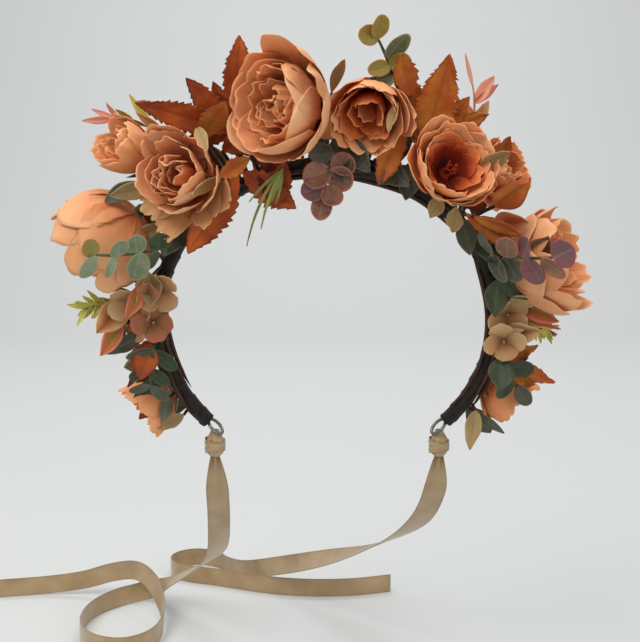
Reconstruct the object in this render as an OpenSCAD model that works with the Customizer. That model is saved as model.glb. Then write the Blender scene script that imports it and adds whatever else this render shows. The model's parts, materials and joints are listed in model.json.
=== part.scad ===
// Flower crown: a wrapped wire frame, open at the nape, with silk-style blooms,
// leaves and sprigs, and a satin tie ribbon at each end.
//
// Row frame: origin at the middle of the ring, +X to the right of a viewer facing
// the wearer, -Y out of the forehead, +Z up.  The ring leans back by frame_tilt.
// Left and right in the names are that viewer's.
//
// Crown frame (module in_crown): x right, y up along the ring, z out of its front.
// "turn" is the clockwise angle from the top of the ring, "lift" the distance
// outside the ring's middle line, "fore" the distance in front of its plane.

/* [Frame] */
// Radius of the ring, to the middle of the wrapped band
frame_r = 88; // [84:1:92]
// Lean of the ring from level, front edge raised
frame_tilt = 68; // [60:1:72]
// Turn at which each end of the frame stops
frame_reach = 132; // [130:1:134]
// Turn at which each side arm flexes
flex_turn = 60; // [59:0.5:61]
// Diameter of the twisted wire
wire_d = 4; // [3:0.5:5]
// Diameter of the band over its floral tape
tape_d = 8.4; // [8:0.2:9]
// Gap round the rounded end of each arm
flex_gap = 0.4; // [0.3:0.1:0.6]

/* [Blooms] */
// Radius of the largest peony, and the scale of every other bloom
peony_r = 24; // [20:1:25]
// Thickness of the petal cups
petal_t = 1.4; // [1:0.2:2]
// Notches round the rim of a bloom
petal_count = 5; // [4:1:7]
// Diameter of a flower stem
stem_d = 2.4; // [2:0.2:3]

/* [Leaves] */
// Thickness of the cloth leaves
leaf_t = 0.8; // [0.6:0.1:1.2]
// Diameter of the thin sprig stems
twig_d = 1.4; // [1:0.2:2]

/* [Ties] */
// Width of the satin ribbon
ribbon_w = 13; // [10:1:16]
// Thickness of the ribbon's solid
ribbon_t = 1.2; // [1:0.2:2]
// Radius of the wire loop that holds a tie
eyelet_r = 5; // [4:0.5:6]

/* [Hidden] */
$fn = 32;
tape_r = tape_d / 2;
end_turn = frame_reach + 3.6;
wire_stop = 3.4; // turn between a flex point and the end of the wire beside it
bore_d = wire_d + 0.6;
bead_d = twig_d + 0.8; // the bead where a leaf joins its wire
eyelet_wire_d = 1.8;
calyx_h = 5;
tie_top = [62, 24, -72.6]; // foot of the knot under the right eyelet

petal_colour = "#dd9468";
pale_petal = "#e2a67e";
rust = "#a9532b";
gold_leaf = "#b9793a";
grey_green = "#7f8d6c";
mauve_leaf = "#93655c";
dark_green = "#3f4d3a";
tape_colour = "#2b211b";
wire_colour = "#6b6a66";
satin = "#a98a5f";

// Each bloom: [turn, lift, fore, heading, lean, spin, radius, height, root].
// heading is the clockwise direction its mouth is turned to, lean how far it turns,
// and root the turn at which its stem enters the tape.
k = peony_r / 24;
top_peony_at     = [ -9.5, 36, 16, -65, 40,  0, 24 * k, 34 * k, -4];
top_rose_at      = [  9.5, 32,  8, 215, 14,  0, 14 * k, 30 * k, 10];
open_rose_at     = [ 32.0, 22, 17,  25, 42, 20, 21 * k, 18 * k, 33];
back_peony_at    = [ 46.5, 32, -9,  45, 55,  0, 15 * k, 22 * k, 47];
ruffled_peony_at = [-37.5, 25, 16, -45, 35,  0, 20 * k, 24 * k, -37];
side_bud_at      = [-46.5, 46, -8, -50, 70,  0, 10 * k, 26 * k, -46];
left_peony_at    = [-65.0, 33,  0, -127, 80,  0, 23 * k, 38 * k, -65.5];
left_end_at      = [-118,  18, -8, 235, 65,  0, 13 * k, 20 * k, -117];
right_peony_at   = [ 71.0, 27,  4, 62, 70,  0, 23 * k, 30 * k, 74];
right_end_at     = [115,   18, -9, 130, 65,  0, 13 * k, 22 * k, 113];

// Each leaf or sprig: [turn, lift, fore, heading, pitch, roll, root].  It grows from
// that spot, and a thin wire joins the spot to the band at the turn called root.
maple_right_at    = [  27, 20, -12,   7,   2,   0,   26];
maple_left_at     = [ -24, 26,  -6, -69,   4,   0,  -25];
upright_at        = [ -22, 33, -10,   8,  -4,  20,  -21];
temple_leaf_at    = [ -26, 10,   9, 214,   8,   0,  -28];
centre_leaf_at    = [ -25,  8,   6, 118,  10,   0,  -24];
curled_leaf_at    = [  49, 20,   9,  36,  16,   0,   50];
left_low_leaf_at  = [ -96,  5,  -4, 207,  -6,   0,  -98];
right_low_leaf_at = [ 102,  6,   2, 106,   8,   0,  102];
euc_top_at        = [  16, 38, -18, -24,   0,   0,   12];
euc_centre_at     = [   2, 10,   8, 193,  24,   0,    2];
euc_left_at       = [ -56,  6,  17, -71,  42,   0,  -63];
euc_left_low_at   = [ -95,  3,   9, 184,   4,   0,  -95];
euc_right_at      = [  58,  6,  17,  70,  42,   0,   63];
euc_right_low_at  = [  98,  8,   8, 160,  10,   0,   98];
pink_sprig_at     = [  35, 36, -14,  -6,  -4,   0,   36];
pointed_sprig_at  = [ -39, 38, -22, -78,   2,   0,  -34];
grass_at          = [ -13,  6,  14, 190,  14,   0,  -14];
needles_left_at   = [ -82, 14,   0, 260,   4,   0,  -83];
needles_right_at  = [  88, 12,  -2, 104,   4,   0,   87];

// Route of each tie's middle line in the row frame, and the way its width lies.
tie_left_route = [
    [[-62, 24, -74], [1, 0, 0]],
    [[-62, 33, -96], [1, 0, 0]],
    [[-63, 49, -118], [1, 0, 0]],
    [[-66, 72, -141], [1, 0.2, 0.2]],
    [[-72, 94, -156], [1, 0.2, 0.4]],
    [[-81, 115, -168], [1, 0.2, 0.6]],
    [[-92, 136, -180], [1, 0.2, 0.8]],
    [[-104, 156, -192], [0.8, 0.2, 0.8]],
    [[-116, 170, -202], [0.6, 0.2, 0.9]],
    [[-131, 174, -207], [0.3, 0.2, 1]],
    [[-146, 164, -208], [0, 0.2, 1]],
    [[-157, 146, -208], [0, 0, 1]],
    [[-161, 123, -208], [0, 0, 1]],
    [[-157, 100, -208], [0, 0, 1]],
    [[-144, 83, -208], [0, 0, 1]],
    [[-126, 78, -208], [0, 0, 1]],
    [[-112, 90, -208], [0, 0, 1]],
    [[-107, 111, -207], [0, 0, 1]],
    [[-110, 132, -202], [0.2, 0, 1]],
    [[-119, 152, -194], [0.4, 0, 1]],
    [[-133, 168, -190], [0.3, 0, 1]],
    [[-152, 180, -195], [0.1, 0, 1]],
    [[-174, 187, -203], [0, 0, 1]],
    [[-200, 188, -207], [0, 0, 1]],
    [[-228, 184, -208], [0, 0, 1]],
    [[-252, 178, -208], [0, 0, 1]]
];
tie_right_route = [
    [[62, 24, -74], [1, 0, 0]],
    [[61, 36, -98], [1, 0, 0]],
    [[55, 56, -120], [1, 0, 0]],
    [[42, 82, -139], [1, 0.2, 0.2]],
    [[22, 112, -157], [0.8, 0.4, 0.4]],
    [[-4, 146, -174], [0.4, 0.4, 0.8]],
    [[-32, 180, -190], [0, 0.3, 1]],
    [[-58, 210, -203], [0, 0, 1]],
    [[-73, 231, -208], [0, 0, 1]],
    [[-86, 248, -208], [0, 0, 1]],
    [[-101, 254, -208], [0, 0, 1]],
    [[-114, 248, -208], [0, 0, 1]],
    [[-119, 235, -208], [0, 0, 1]],
    [[-114, 222, -208], [0, 0, 1]],
    [[-101, 213.5, -208], [0, 0, 1]],
    [[-83, 207, -208], [0, 0, 1]],
    [[-62, 198, -208], [0, 0, 1]],
    [[-36, 188, -208], [0, 0, 1]],
    [[-8, 184, -208], [0, 0, 1]],
    [[20, 186, -208], [0, 0, 1]],
    [[46, 194, -208], [0, 0, 1]]
];

function unit(v) = v / norm(v);
function spot(turn, lift, fore) =
    [(frame_r + lift) * sin(turn), (frame_r + lift) * cos(turn), fore];
function mouth(heading, lean) =
    [sin(heading) * sin(lean), cos(heading) * sin(lean), cos(lean)];

// ---- placing -------------------------------------------------------------
module in_crown() rotate([180 - frame_tilt, 0, 0]) children();

module set_bloom(at) in_crown()
    translate(spot(at[0], at[1], at[2])) rotate([0, 0, -at[3]])
        rotate([-at[4], 0, 0]) rotate([0, 0, at[5]]) children();

// A leaf grows along its own y: heading is clockwise from the top of the ring,
// pitch lifts its tip to the front, roll turns it about its own length.
module set_leaf(at) {
    in_crown() {
        translate(spot(at[0], at[1], at[2])) rotate([0, 0, -at[3]])
            rotate([at[4], 0, 0]) rotate([0, at[5], 0]) children();
        rod(spot(at[6], tape_r - 1, 0), spot(at[0], at[1], at[2]), twig_d);
        translate(spot(at[0], at[1], at[2])) sphere(d = bead_d, $fn = 24);
    }
}

module rod(from, to, d) {
    v = to - from;
    translate(from) rotate([0, acos(v.z / norm(v)), atan2(v.y, v.x)])
        cylinder(h = norm(v), d = d);
}

// ---- frame ---------------------------------------------------------------
module ring_arc(turn_a, turn_b, d) rotate([0, 0, 90 - turn_b])
    rotate_extrude(angle = turn_b - turn_a) translate([frame_r, 0]) circle(d = d);

module at_flex(side) translate(spot(side * flex_turn, 0, 0)) children();

module tape_front() color(tape_colour) in_crown() difference() {
    ring_arc(-flex_turn, flex_turn, tape_d);
    ring_arc(-flex_turn - 1, flex_turn + 1, bore_d);
    for (side = [-1, 1]) at_flex(side)
        cylinder(h = 2 * tape_d, r = tape_r + flex_gap, center = true);
}

module wire_front() color(wire_colour) in_crown()
    ring_arc(-flex_turn + wire_stop, flex_turn - wire_stop, wire_d);

module arm_wire(side) color(wire_colour) in_crown() mirror([side < 0 ? 1 : 0, 0, 0])
    ring_arc(flex_turn + wire_stop, frame_reach - 1, wire_d);

module arm_tape(side) color(tape_colour) in_crown() mirror([side < 0 ? 1 : 0, 0, 0])
    difference() {
        union() {
            ring_arc(flex_turn, frame_reach, tape_d);
            at_flex(1) cylinder(h = tape_d - 1, r = tape_r, center = true);
        }
        ring_arc(flex_turn + wire_stop - 0.1, frame_reach - 0.9, bore_d);
    }

module eyelet(side) color(wire_colour) in_crown()
    translate(spot(side * end_turn, 0, 0)) rotate([0, 0, -side * end_turn])
        rotate([90, 0, 0]) rotate_extrude() translate([eyelet_r, 0])
            circle(d = eyelet_wire_d);

// The tie is looped through the eyelet and knotted just under it.
module tie_knot(side) color(satin)
    translate([side * tie_top.x, tie_top.y, tie_top.z]) rotate_extrude()
        polygon([[0, 0], [3.4, 0], [5, 2.5], [5, 7], [3.2, 10.5], [2.2, 14], [0, 14]]);

module wire_left() arm_wire(-1);
module wire_right() arm_wire(1);
module tape_left() arm_tape(-1);
module tape_right() arm_tape(1);
module eyelet_left() eyelet(-1);
module eyelet_right() eyelet(1);
module tie_knot_left() tie_knot(-1);
module tie_knot_right() tie_knot(1);

// ---- blooms --------------------------------------------------------------
// A thin cup round a full heart, from one turned outline, with a notched rim.
module bloom(r, h) difference() {
    rotate_extrude() polygon([
        [0, -0.5 * h], [0.36 * r, -0.5 * h], [0.8 * r, -0.28 * h], [r, 0.06 * h],
        [0.98 * r, 0.5 * h], [0.98 * r - petal_t, 0.5 * h],
        [r - petal_t - 0.3, 0.08 * h], [0.82 * r, -0.12 * h], [0.74 * r, -0.12 * h],
        [0.78 * r, 0.1 * h], [0.7 * r, 0.42 * h], [0.6 * r, 0.46 * h],
        [0.34 * r, 0.28 * h], [0.16 * r, 0.36 * h], [0, 0.36 * h]
    ]);
    for (i = [0 : petal_count - 1]) rotate([0, 0, i * 360 / petal_count])
        translate([0.84 * r, 0, 0.54 * h]) rotate([0, 90, 0])
            cylinder(h = 0.4 * r, r = 0.2 * r, $fn = 16);
}

module bud(r, h) rotate_extrude() polygon([
    [0, -0.5 * h], [0.5 * r, -0.5 * h], [0.9 * r, -0.25 * h], [r, 0],
    [0.8 * r, 0.3 * h], [0.66 * r, 0.5 * h], [0.3 * r, 0.38 * h], [0, 0.42 * h]
]);

// The calyx sits under the cup; the stem runs on into the tape.
module stem(at) color(dark_green) {
    r = at[6];
    h = at[7];
    set_bloom(at) translate([0, 0, -0.5 * h - calyx_h])
        cylinder(h = calyx_h, r1 = 0.75 * stem_d, r2 = 0.34 * r);
    foot = spot(at[0], at[1], at[2]) - (0.5 * h + calyx_h - 0.5) * mouth(at[3], at[4]);
    in_crown() rod(foot, spot(at[8], tape_r - 1.2, 0), stem_d);
}

module top_peony() color(petal_colour) set_bloom(top_peony_at)
    bloom(top_peony_at[6], top_peony_at[7]);
module top_rose() color(petal_colour) set_bloom(top_rose_at)
    bloom(top_rose_at[6], top_rose_at[7]);
module open_rose() color("#c77748") set_bloom(open_rose_at)
    bloom(open_rose_at[6], open_rose_at[7]);
module back_peony() color(pale_petal) set_bloom(back_peony_at)
    bloom(back_peony_at[6], back_peony_at[7]);
module ruffled_peony() color(pale_petal) set_bloom(ruffled_peony_at)
    bloom(ruffled_peony_at[6], ruffled_peony_at[7]);
module side_bud() color(petal_colour) set_bloom(side_bud_at)
    bud(side_bud_at[6], side_bud_at[7]);
module left_peony() color(pale_petal) set_bloom(left_peony_at)
    bloom(left_peony_at[6], left_peony_at[7]);
module left_end_rose() color(petal_colour) set_bloom(left_end_at)
    bloom(left_end_at[6], left_end_at[7]);
module right_peony() color(pale_petal) set_bloom(right_peony_at)
    bloom(right_peony_at[6], right_peony_at[7]);
module right_end_rose() color(petal_colour) set_bloom(right_end_at)
    bloom(right_end_at[6], right_end_at[7]);

module top_peony_stem() stem(top_peony_at);
module top_rose_stem() stem(top_rose_at);
module open_rose_stem() stem(open_rose_at);
module back_peony_stem() stem(back_peony_at);
module ruffled_peony_stem() stem(ruffled_peony_at);
module side_bud_stem() stem(side_bud_at);
module left_peony_stem() stem(left_peony_at);
module left_end_rose_stem() stem(left_end_at);
module right_peony_stem() stem(right_peony_at);
module right_end_rose_stem() stem(right_end_at);

// A hydrangea cluster: four-petalled florets on short stalks from one point.
module floret(r) {
    for (a = [45 : 90 : 315]) rotate([0, 0, a]) translate([0.55 * r, 0, 0])
        cylinder(h = leaf_t, r = 0.46 * r, $fn = 24);
    cylinder(h = leaf_t + 0.8, r = 0.2 * r, $fn = 24);
}

// ---- leaves and sprigs ---------------------------------------------------
half_maple = [
    [0.10, 0.14], [0.36, 0.06], [0.30, 0.24], [0.60, 0.38], [0.40, 0.46],
    [0.46, 0.70], [0.24, 0.62], [0.18, 0.80]
];
module maple_leaf(l) linear_extrude(leaf_t, center = true) scale(l) polygon(concat(
    [[0.02, 0]], half_maple, [[0, 1]],
    [for (i = [len(half_maple) - 1 : -1 : 0]) [-half_maple[i].x, half_maple[i].y]],
    [[-0.02, 0]]));

module leaf(l, w) linear_extrude(leaf_t, center = true) polygon(concat(
    [for (t = [0 : 0.125 : 1]) [w / 2 * sin(180 * pow(t, 0.8)) + 0.3, l * t]],
    [for (t = [1 : -0.125 : 0]) [-w / 2 * sin(180 * pow(t, 0.8)) - 0.3, l * t]]));

// Round leaves in pairs along a straight twig, smaller towards the tip.
module eucalyptus(l, pairs, r) {
    rotate([-90, 0, 0]) cylinder(h = l, d = twig_d, $fn = 16);
    for (i = [1 : pairs], side = [-1, 1]) {
        size = r * (1.15 - 0.35 * i / pairs);
        translate([0, l * (i - 0.3 * (side + 1) / 2) / pairs, 0])
            rotate([0, 25 * side, side * -20]) translate([side * (size - 0.5), 0, 0])
                cylinder(h = leaf_t, r = size, center = true, $fn = 24);
    }
}

// Narrow leaves or needles fanned along a twig.
module fan(l, count, blade_l, blade_w, spread) {
    rotate([-90, 0, 0]) cylinder(h = l, d = twig_d, $fn = 16);
    for (i = [0 : count - 1]) {
        side = i % 2 == 0 ? 1 : -1;
        translate([0, l * (0.35 + 0.6 * i / count), 0])
            rotate([0, 0, side * spread * (1 - 0.5 * i / count)]) leaf(blade_l, blade_w);
    }
}

module maple_leaf_right() color(rust) set_leaf(maple_right_at) maple_leaf(44);
module maple_leaf_left() color(rust) set_leaf(maple_left_at) maple_leaf(46);
module maple_leaf_upright() color(rust) set_leaf(upright_at) leaf(36, 13);
module rust_leaf_temple() color(rust) set_leaf(temple_leaf_at) leaf(46, 18);
module rust_leaf_centre() color(rust) set_leaf(centre_leaf_at) leaf(34, 14);
module curled_leaf_right() color(gold_leaf) set_leaf(curled_leaf_at) leaf(26, 13);
module maple_leaf_left_low() color(rust) set_leaf(left_low_leaf_at) leaf(24, 13);
module maple_leaf_right_low() color(gold_leaf) set_leaf(right_low_leaf_at) maple_leaf(30);

module eucalyptus_top() color(grey_green) set_leaf(euc_top_at) eucalyptus(36, 3, 4.6);
module eucalyptus_centre() color(mauve_leaf) set_leaf(euc_centre_at) eucalyptus(26, 3, 6.4);
module eucalyptus_left() color(grey_green) set_leaf(euc_left_at) eucalyptus(46, 4, 5.5);
module eucalyptus_left_low() color(dark_green) set_leaf(euc_left_low_at)
    eucalyptus(34, 4, 4.6);
module eucalyptus_right() color(mauve_leaf) set_leaf(euc_right_at) eucalyptus(38, 4, 6);
module eucalyptus_right_low() color(dark_green) set_leaf(euc_right_low_at)
    eucalyptus(18, 2, 4.6);

module pink_sprig_right() color("#d09081") set_leaf(pink_sprig_at) fan(34, 5, 13, 5, 40);
module pointed_sprig_left() color("#b98a5c") set_leaf(pointed_sprig_at)
    fan(30, 5, 14, 4, 38);
module grass_blades() color("#8c8f4e") set_leaf(grass_at)
    for (splay = [-9, 9]) rotate([0, 0, splay]) leaf(splay < 0 ? 34 : 26, 1.6);
module needle_sprig_left() color("#a9a14a") set_leaf(needles_left_at)
    fan(26, 6, 10, 1.8, 60);
module needle_sprig_right() color("#a9a14a") set_leaf(needles_right_at)
    fan(18, 6, 9, 1.8, 60);

module left_hydrangea() color("#c49a72") {
    set_leaf([-72, 1, 13, 0, 0, 0, -73]) floret(11);
    set_leaf([-79, 13, 10, 20, 12, 0, -79]) floret(11);
    set_leaf([-84, 1, 13, 40, -10, 0, -85]) floret(10);
    set_leaf([-88, 16, 4, 10, 14, 0, -88]) floret(10);
}
module right_hydrangea() color("#cfa67c") {
    set_leaf([82, 5, 11, 0, 0, 0, 80]) floret(11);
    set_leaf([91, 3, 13, 30, 10, 0, 91]) floret(11);
}
module lily_buds() color("#d2705a") {
    set_leaf([84, 10, -9, 98, -4, 0, 83]) leaf(27, 7);
    set_leaf([89, 11, -8, 110, 4, 0, 88]) leaf(25, 7);
}

// ---- ties ----------------------------------------------------------------
// A flat eight-sided section swept along a route's points.
section = [
    for (c = [[-1, 0], [-0.8, -0.8], [0, -1], [0.8, -0.8], [1, 0], [0.8, 0.8], [0, 1], [-0.8, 0.8]])
        [c.x * ribbon_w / 2, c.y * ribbon_t / 2]
];
function along(route, i) =
    unit(route[min(i + 1, len(route) - 1)][0] - route[max(i - 1, 0)][0]);
function ring_points(route, i) =
    let (t = along(route, i), s = route[i][1], w = unit(s - (s * t) * t), n = cross(t, w))
    [for (c = section) route[i][0] + c.x * w + c.y * n];
module ribbon(route) {
    m = len(section);
    rings = len(route);
    polyhedron(
        points = [for (i = [0 : rings - 1]) each ring_points(route, i)],
        faces = concat(
            [[for (j = [m - 1 : -1 : 0]) j]],
            [for (i = [0 : rings - 2], j = [0 : m - 1]) each [
                [i * m + j, i * m + (j + 1) % m, (i + 1) * m + (j + 1) % m],
                [i * m + j, (i + 1) * m + (j + 1) % m, (i + 1) * m + j]]],
            [[for (j = [0 : m - 1]) (rings - 1) * m + j]]));
}
module tie_left() color(satin) ribbon(tie_left_route);
module tie_right() color(satin) ribbon(tie_right_route);

wire_front();
tape_front();
top_peony();
top_peony_stem();
top_rose();
top_rose_stem();
open_rose();
open_rose_stem();
back_peony();
back_peony_stem();
ruffled_peony();
ruffled_peony_stem();
side_bud();
side_bud_stem();
maple_leaf_right();
maple_leaf_left();
maple_leaf_upright();
rust_leaf_temple();
rust_leaf_centre();
curled_leaf_right();
eucalyptus_top();
eucalyptus_centre();
pink_sprig_right();
pointed_sprig_left();
grass_blades();
tie_left();
tie_right();
wire_left();
tape_left();
eyelet_left();
tie_knot_left();
left_peony();
left_peony_stem();
left_hydrangea();
left_end_rose();
left_end_rose_stem();
maple_leaf_left_low();
eucalyptus_left();
eucalyptus_left_low();
needle_sprig_left();
wire_right();
tape_right();
eyelet_right();
tie_knot_right();
right_peony();
right_peony_stem();
right_hydrangea();
lily_buds();
right_end_rose();
right_end_rose_stem();
maple_leaf_right_low();
eucalyptus_right();
eucalyptus_right_low();
needle_sprig_right();
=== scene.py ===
"""Flower crown: cloth petals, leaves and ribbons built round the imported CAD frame.

Lengths in the tables are in millimetres in the crown's own frame, as in the CAD source;
MM turns them into Blender's metres.  Crown frame: x right, y up along the ring, z out of
its front, all leaning back by TILT.
"""
import json
import math

import bpy
import numpy as np
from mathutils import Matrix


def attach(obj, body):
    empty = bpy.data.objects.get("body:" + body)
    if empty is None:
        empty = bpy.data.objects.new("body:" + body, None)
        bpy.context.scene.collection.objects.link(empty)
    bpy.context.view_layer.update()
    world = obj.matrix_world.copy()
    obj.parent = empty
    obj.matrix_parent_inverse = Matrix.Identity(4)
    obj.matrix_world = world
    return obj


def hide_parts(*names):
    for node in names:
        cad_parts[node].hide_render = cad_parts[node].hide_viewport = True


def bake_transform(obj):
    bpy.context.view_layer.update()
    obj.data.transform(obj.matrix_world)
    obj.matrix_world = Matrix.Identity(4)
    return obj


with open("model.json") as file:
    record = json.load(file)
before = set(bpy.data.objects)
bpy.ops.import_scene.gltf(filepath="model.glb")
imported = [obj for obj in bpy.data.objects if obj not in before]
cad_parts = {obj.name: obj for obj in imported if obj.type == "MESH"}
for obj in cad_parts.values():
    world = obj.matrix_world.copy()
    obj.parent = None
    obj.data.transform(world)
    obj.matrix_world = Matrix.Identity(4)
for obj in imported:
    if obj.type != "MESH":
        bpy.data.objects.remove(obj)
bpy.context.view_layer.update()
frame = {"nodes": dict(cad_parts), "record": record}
scene = bpy.context.scene

MM = 0.001
RING_R = 88.0  # the ring's middle line
TILT = math.radians(68)  # how far the ring leans back from level
TAPE_R = 4.2  # the taped bundle round the wire
FLEX_TURN = 60.0  # where an arm bends, in degrees round the ring from its top
REACH = 132.0  # where an arm ends
EYELET_TURN = REACH + 3.6
TABLE_Z = -0.2145  # the table top, in metres
RIBBON_W = 13.0
KNOT_AT = (62, 24, -75)  # the right knot's foot; the left one mirrors it
PETAL_T = 0.24
LEAF_T = 0.3
FLORET_T = 0.35
WHITE = (1, 1, 1, 1)

CROWN = np.array([
    [1, 0, 0],
    [0, -math.cos(TILT), -math.sin(TILT)],
    [0, math.sin(TILT), -math.cos(TILT)],
])
IN_PLACE = (np.eye(3), 0.0)
BODY = {node: body for body, nodes in frame["record"]["behaviour"]["bodies"].items()
        for node in nodes}

# ---- layout: the same rows as the CAD source ------------------------------
# Blooms: turn, lift, fore, heading, lean, spin, radius, height, root turn of the stem.
BLOOMS = {
    "top_peony": (-9.5, 36, 16, -65, 40, 0, 24, 34, -4),
    "top_rose": (9.5, 32, 8, 215, 14, 0, 14, 30, 10),
    "open_rose": (32.0, 22, 17, 25, 42, 20, 21, 18, 33),
    "back_peony": (46.5, 32, -9, 45, 55, 0, 15, 22, 47),
    "ruffled_peony": (-37.5, 25, 16, -45, 35, 0, 20, 24, -37),
    "side_bud": (-46.5, 46, -8, -50, 70, 0, 10, 26, -46),
    "left_peony": (-65.0, 33, 0, -127, 80, 0, 23, 38, -65.5),
    "left_end_rose": (-118, 18, -8, 235, 65, 0, 13, 20, -117),
    "right_peony": (71, 27, 4, 62, 70, 0, 23, 30, 74),
    "right_end_rose": (115, 18, -9, 130, 65, 0, 13, 22, 113),
}
# Leaves and sprigs: turn, lift, fore, heading, pitch, roll, root turn.
LEAVES = {
    "maple_leaf_right": (27, 20, -12, 7, 2, 0, 26),
    "maple_leaf_left": (-24, 26, -6, -69, 4, 0, -25),
    "maple_leaf_upright": (-22, 33, -10, 8, -4, 20, -21),
    "rust_leaf_temple": (-26, 10, 9, 214, 8, 0, -28),
    "rust_leaf_centre": (-25, 8, 6, 118, 10, 0, -24),
    "curled_leaf_right": (49, 20, 9, 36, 16, 0, 50),
    "maple_leaf_left_low": (-96, 5, -4, 207, -6, 0, -98),
    "maple_leaf_right_low": (102, 6, 2, 106, 8, 0, 102),
    "eucalyptus_top": (16, 38, -18, -24, 0, 0, 12),
    "eucalyptus_centre": (2, 10, 8, 193, 24, 0, 2),
    "eucalyptus_left": (-56, 6, 17, -71, 42, 0, -63),
    "eucalyptus_left_low": (-95, 3, 9, 184, 4, 0, -95),
    "eucalyptus_right": (58, 6, 17, 70, 42, 0, 63),
    "eucalyptus_right_low": (98, 8, 8, 160, 10, 0, 98),
    "pink_sprig_right": (35, 36, -14, -6, -4, 0, 36),
    "pointed_sprig_left": (-39, 38, -22, -78, 2, 0, -34),
    "grass_blades": (-13, 6, 14, 190, 14, 0, -14),
    "needle_sprig_left": (-82, 14, 0, 260, 4, 0, -83),
    "needle_sprig_right": (88, 12, -2, 104, 4, 0, 87),
}
# Routes of the two ties in the row frame: a point, and the way that the width lies there.
TIE_LEFT = [
    (-62, 24, -74, 1, 0, 0), (-62, 33, -96, 1, 0, 0), (-63, 49, -118, 1, 0, 0),
    (-66, 72, -141, 1, 0.2, 0.2), (-72, 94, -156, 1, 0.2, 0.4), (-81, 115, -168, 1, 0.2, 0.6),
    (-92, 136, -180, 1, 0.2, 0.8), (-104, 156, -192, 0.8, 0.2, 0.8),
    (-116, 170, -202, 0.6, 0.2, 0.9), (-131, 174, -207, 0.3, 0.2, 1), (-146, 164, -208, 0, 0.2, 1),
    (-157, 146, -208, 0, 0, 1), (-161, 123, -208, 0, 0, 1), (-157, 100, -208, 0, 0, 1),
    (-144, 83, -208, 0, 0, 1), (-126, 78, -208, 0, 0, 1), (-112, 90, -208, 0, 0, 1),
    (-107, 111, -207, 0, 0, 1), (-110, 132, -202, 0.2, 0, 1), (-119, 152, -194, 0.4, 0, 1),
    (-133, 168, -190, 0.3, 0, 1), (-152, 180, -195, 0.1, 0, 1), (-174, 187, -203, 0, 0, 1),
    (-200, 188, -207, 0, 0, 1), (-228, 184, -208, 0, 0, 1), (-252, 178, -208, 0, 0, 1),
]
TIE_RIGHT = [
    (62, 24, -74, 1, 0, 0), (61, 36, -98, 1, 0, 0), (55, 56, -120, 1, 0, 0),
    (42, 82, -139, 1, 0.2, 0.2), (22, 112, -157, 0.8, 0.4, 0.4), (-4, 146, -174, 0.4, 0.4, 0.8),
    (-32, 180, -190, 0, 0.3, 1), (-58, 210, -203, 0, 0, 1), (-73, 231, -208, 0, 0, 1),
    (-86, 248, -208, 0, 0, 1), (-101, 254, -208, 0, 0, 1), (-114, 248, -208, 0, 0, 1),
    (-119, 235, -208, 0, 0, 1), (-114, 222, -208, 0, 0, 1), (-101, 213.5, -208, 0, 0, 1),
    (-83, 207, -208, 0, 0, 1), (-62, 198, -208, 0, 0, 1), (-36, 188, -208, 0, 0, 1),
    (-8, 184, -208, 0, 0, 1), (20, 186, -208, 0, 0, 1), (46, 194, -208, 0, 0, 1),
]


# ---- frame maths -----------------------------------------------------------
def turn_about(axis, degrees):
    """The 3x3 rotation about x, y or z."""
    c, s = math.cos(math.radians(degrees)), math.sin(math.radians(degrees))
    i, j = {"x": (1, 2), "y": (2, 0), "z": (0, 1)}[axis]
    m = np.eye(3)
    m[i, i], m[i, j], m[j, i], m[j, j] = c, -s, s, c
    return m


def spot(turn, lift, fore):
    """The point at turn degrees round the ring, lift out from its middle line and fore of it."""
    r, a = RING_R + lift, np.radians(turn)
    return np.stack([r * np.sin(a), r * np.cos(a), fore], axis=-1) @ CROWN.T


def bloom_place(row):
    """(rotation, origin) that take a bloom's own frame, z out of its mouth, to the row frame."""
    turn, lift, fore, heading, lean, spin = row[:6]
    m = turn_about("z", -heading) @ turn_about("x", -lean) @ turn_about("z", spin)
    return CROWN @ m, spot(turn, lift, fore)


def leaf_place(row):
    """(rotation, origin) for a leaf that grows along its own y and faces its own z."""
    turn, lift, fore, heading, pitch, roll = row[:6]
    m = turn_about("z", -heading) @ turn_about("x", pitch) @ turn_about("y", roll)
    return CROWN @ m, spot(turn, lift, fore)


def placed(points, place):
    rotation, origin = place
    return points @ rotation.T + origin


def unit(v):
    v = np.asarray(v, float)
    return v / np.linalg.norm(v, axis=-1, keepdims=True)


def smooth_path(points, steps):
    """A Catmull-Rom curve through points, with steps samples per span."""
    p = np.asarray(points, float)
    p = np.vstack([2 * p[0] - p[1], p, 2 * p[-1] - p[-2]])
    out = []
    for i in range(1, len(p) - 2):
        for t in np.arange(steps) / steps:
            a, b, c, d = p[i - 1], p[i], p[i + 1], p[i + 2]
            out.append(0.5 * (2 * b + (c - a) * t + (2 * a - 5 * b + 4 * c - d) * t ** 2
                              + (3 * b - a - 3 * c + d) * t ** 3))
    out.append(p[-2])
    return np.array(out)


# ---- materials -------------------------------------------------------------
def rgb(r, g, b):
    """An sRGB colour of 0 to 255 as the linear colour that shaders take."""
    def linear(c):
        c /= 255
        return c / 12.92 if c <= 0.04045 else ((c + 0.055) / 1.055) ** 2.4
    return (linear(r), linear(g), linear(b), 1)


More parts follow.
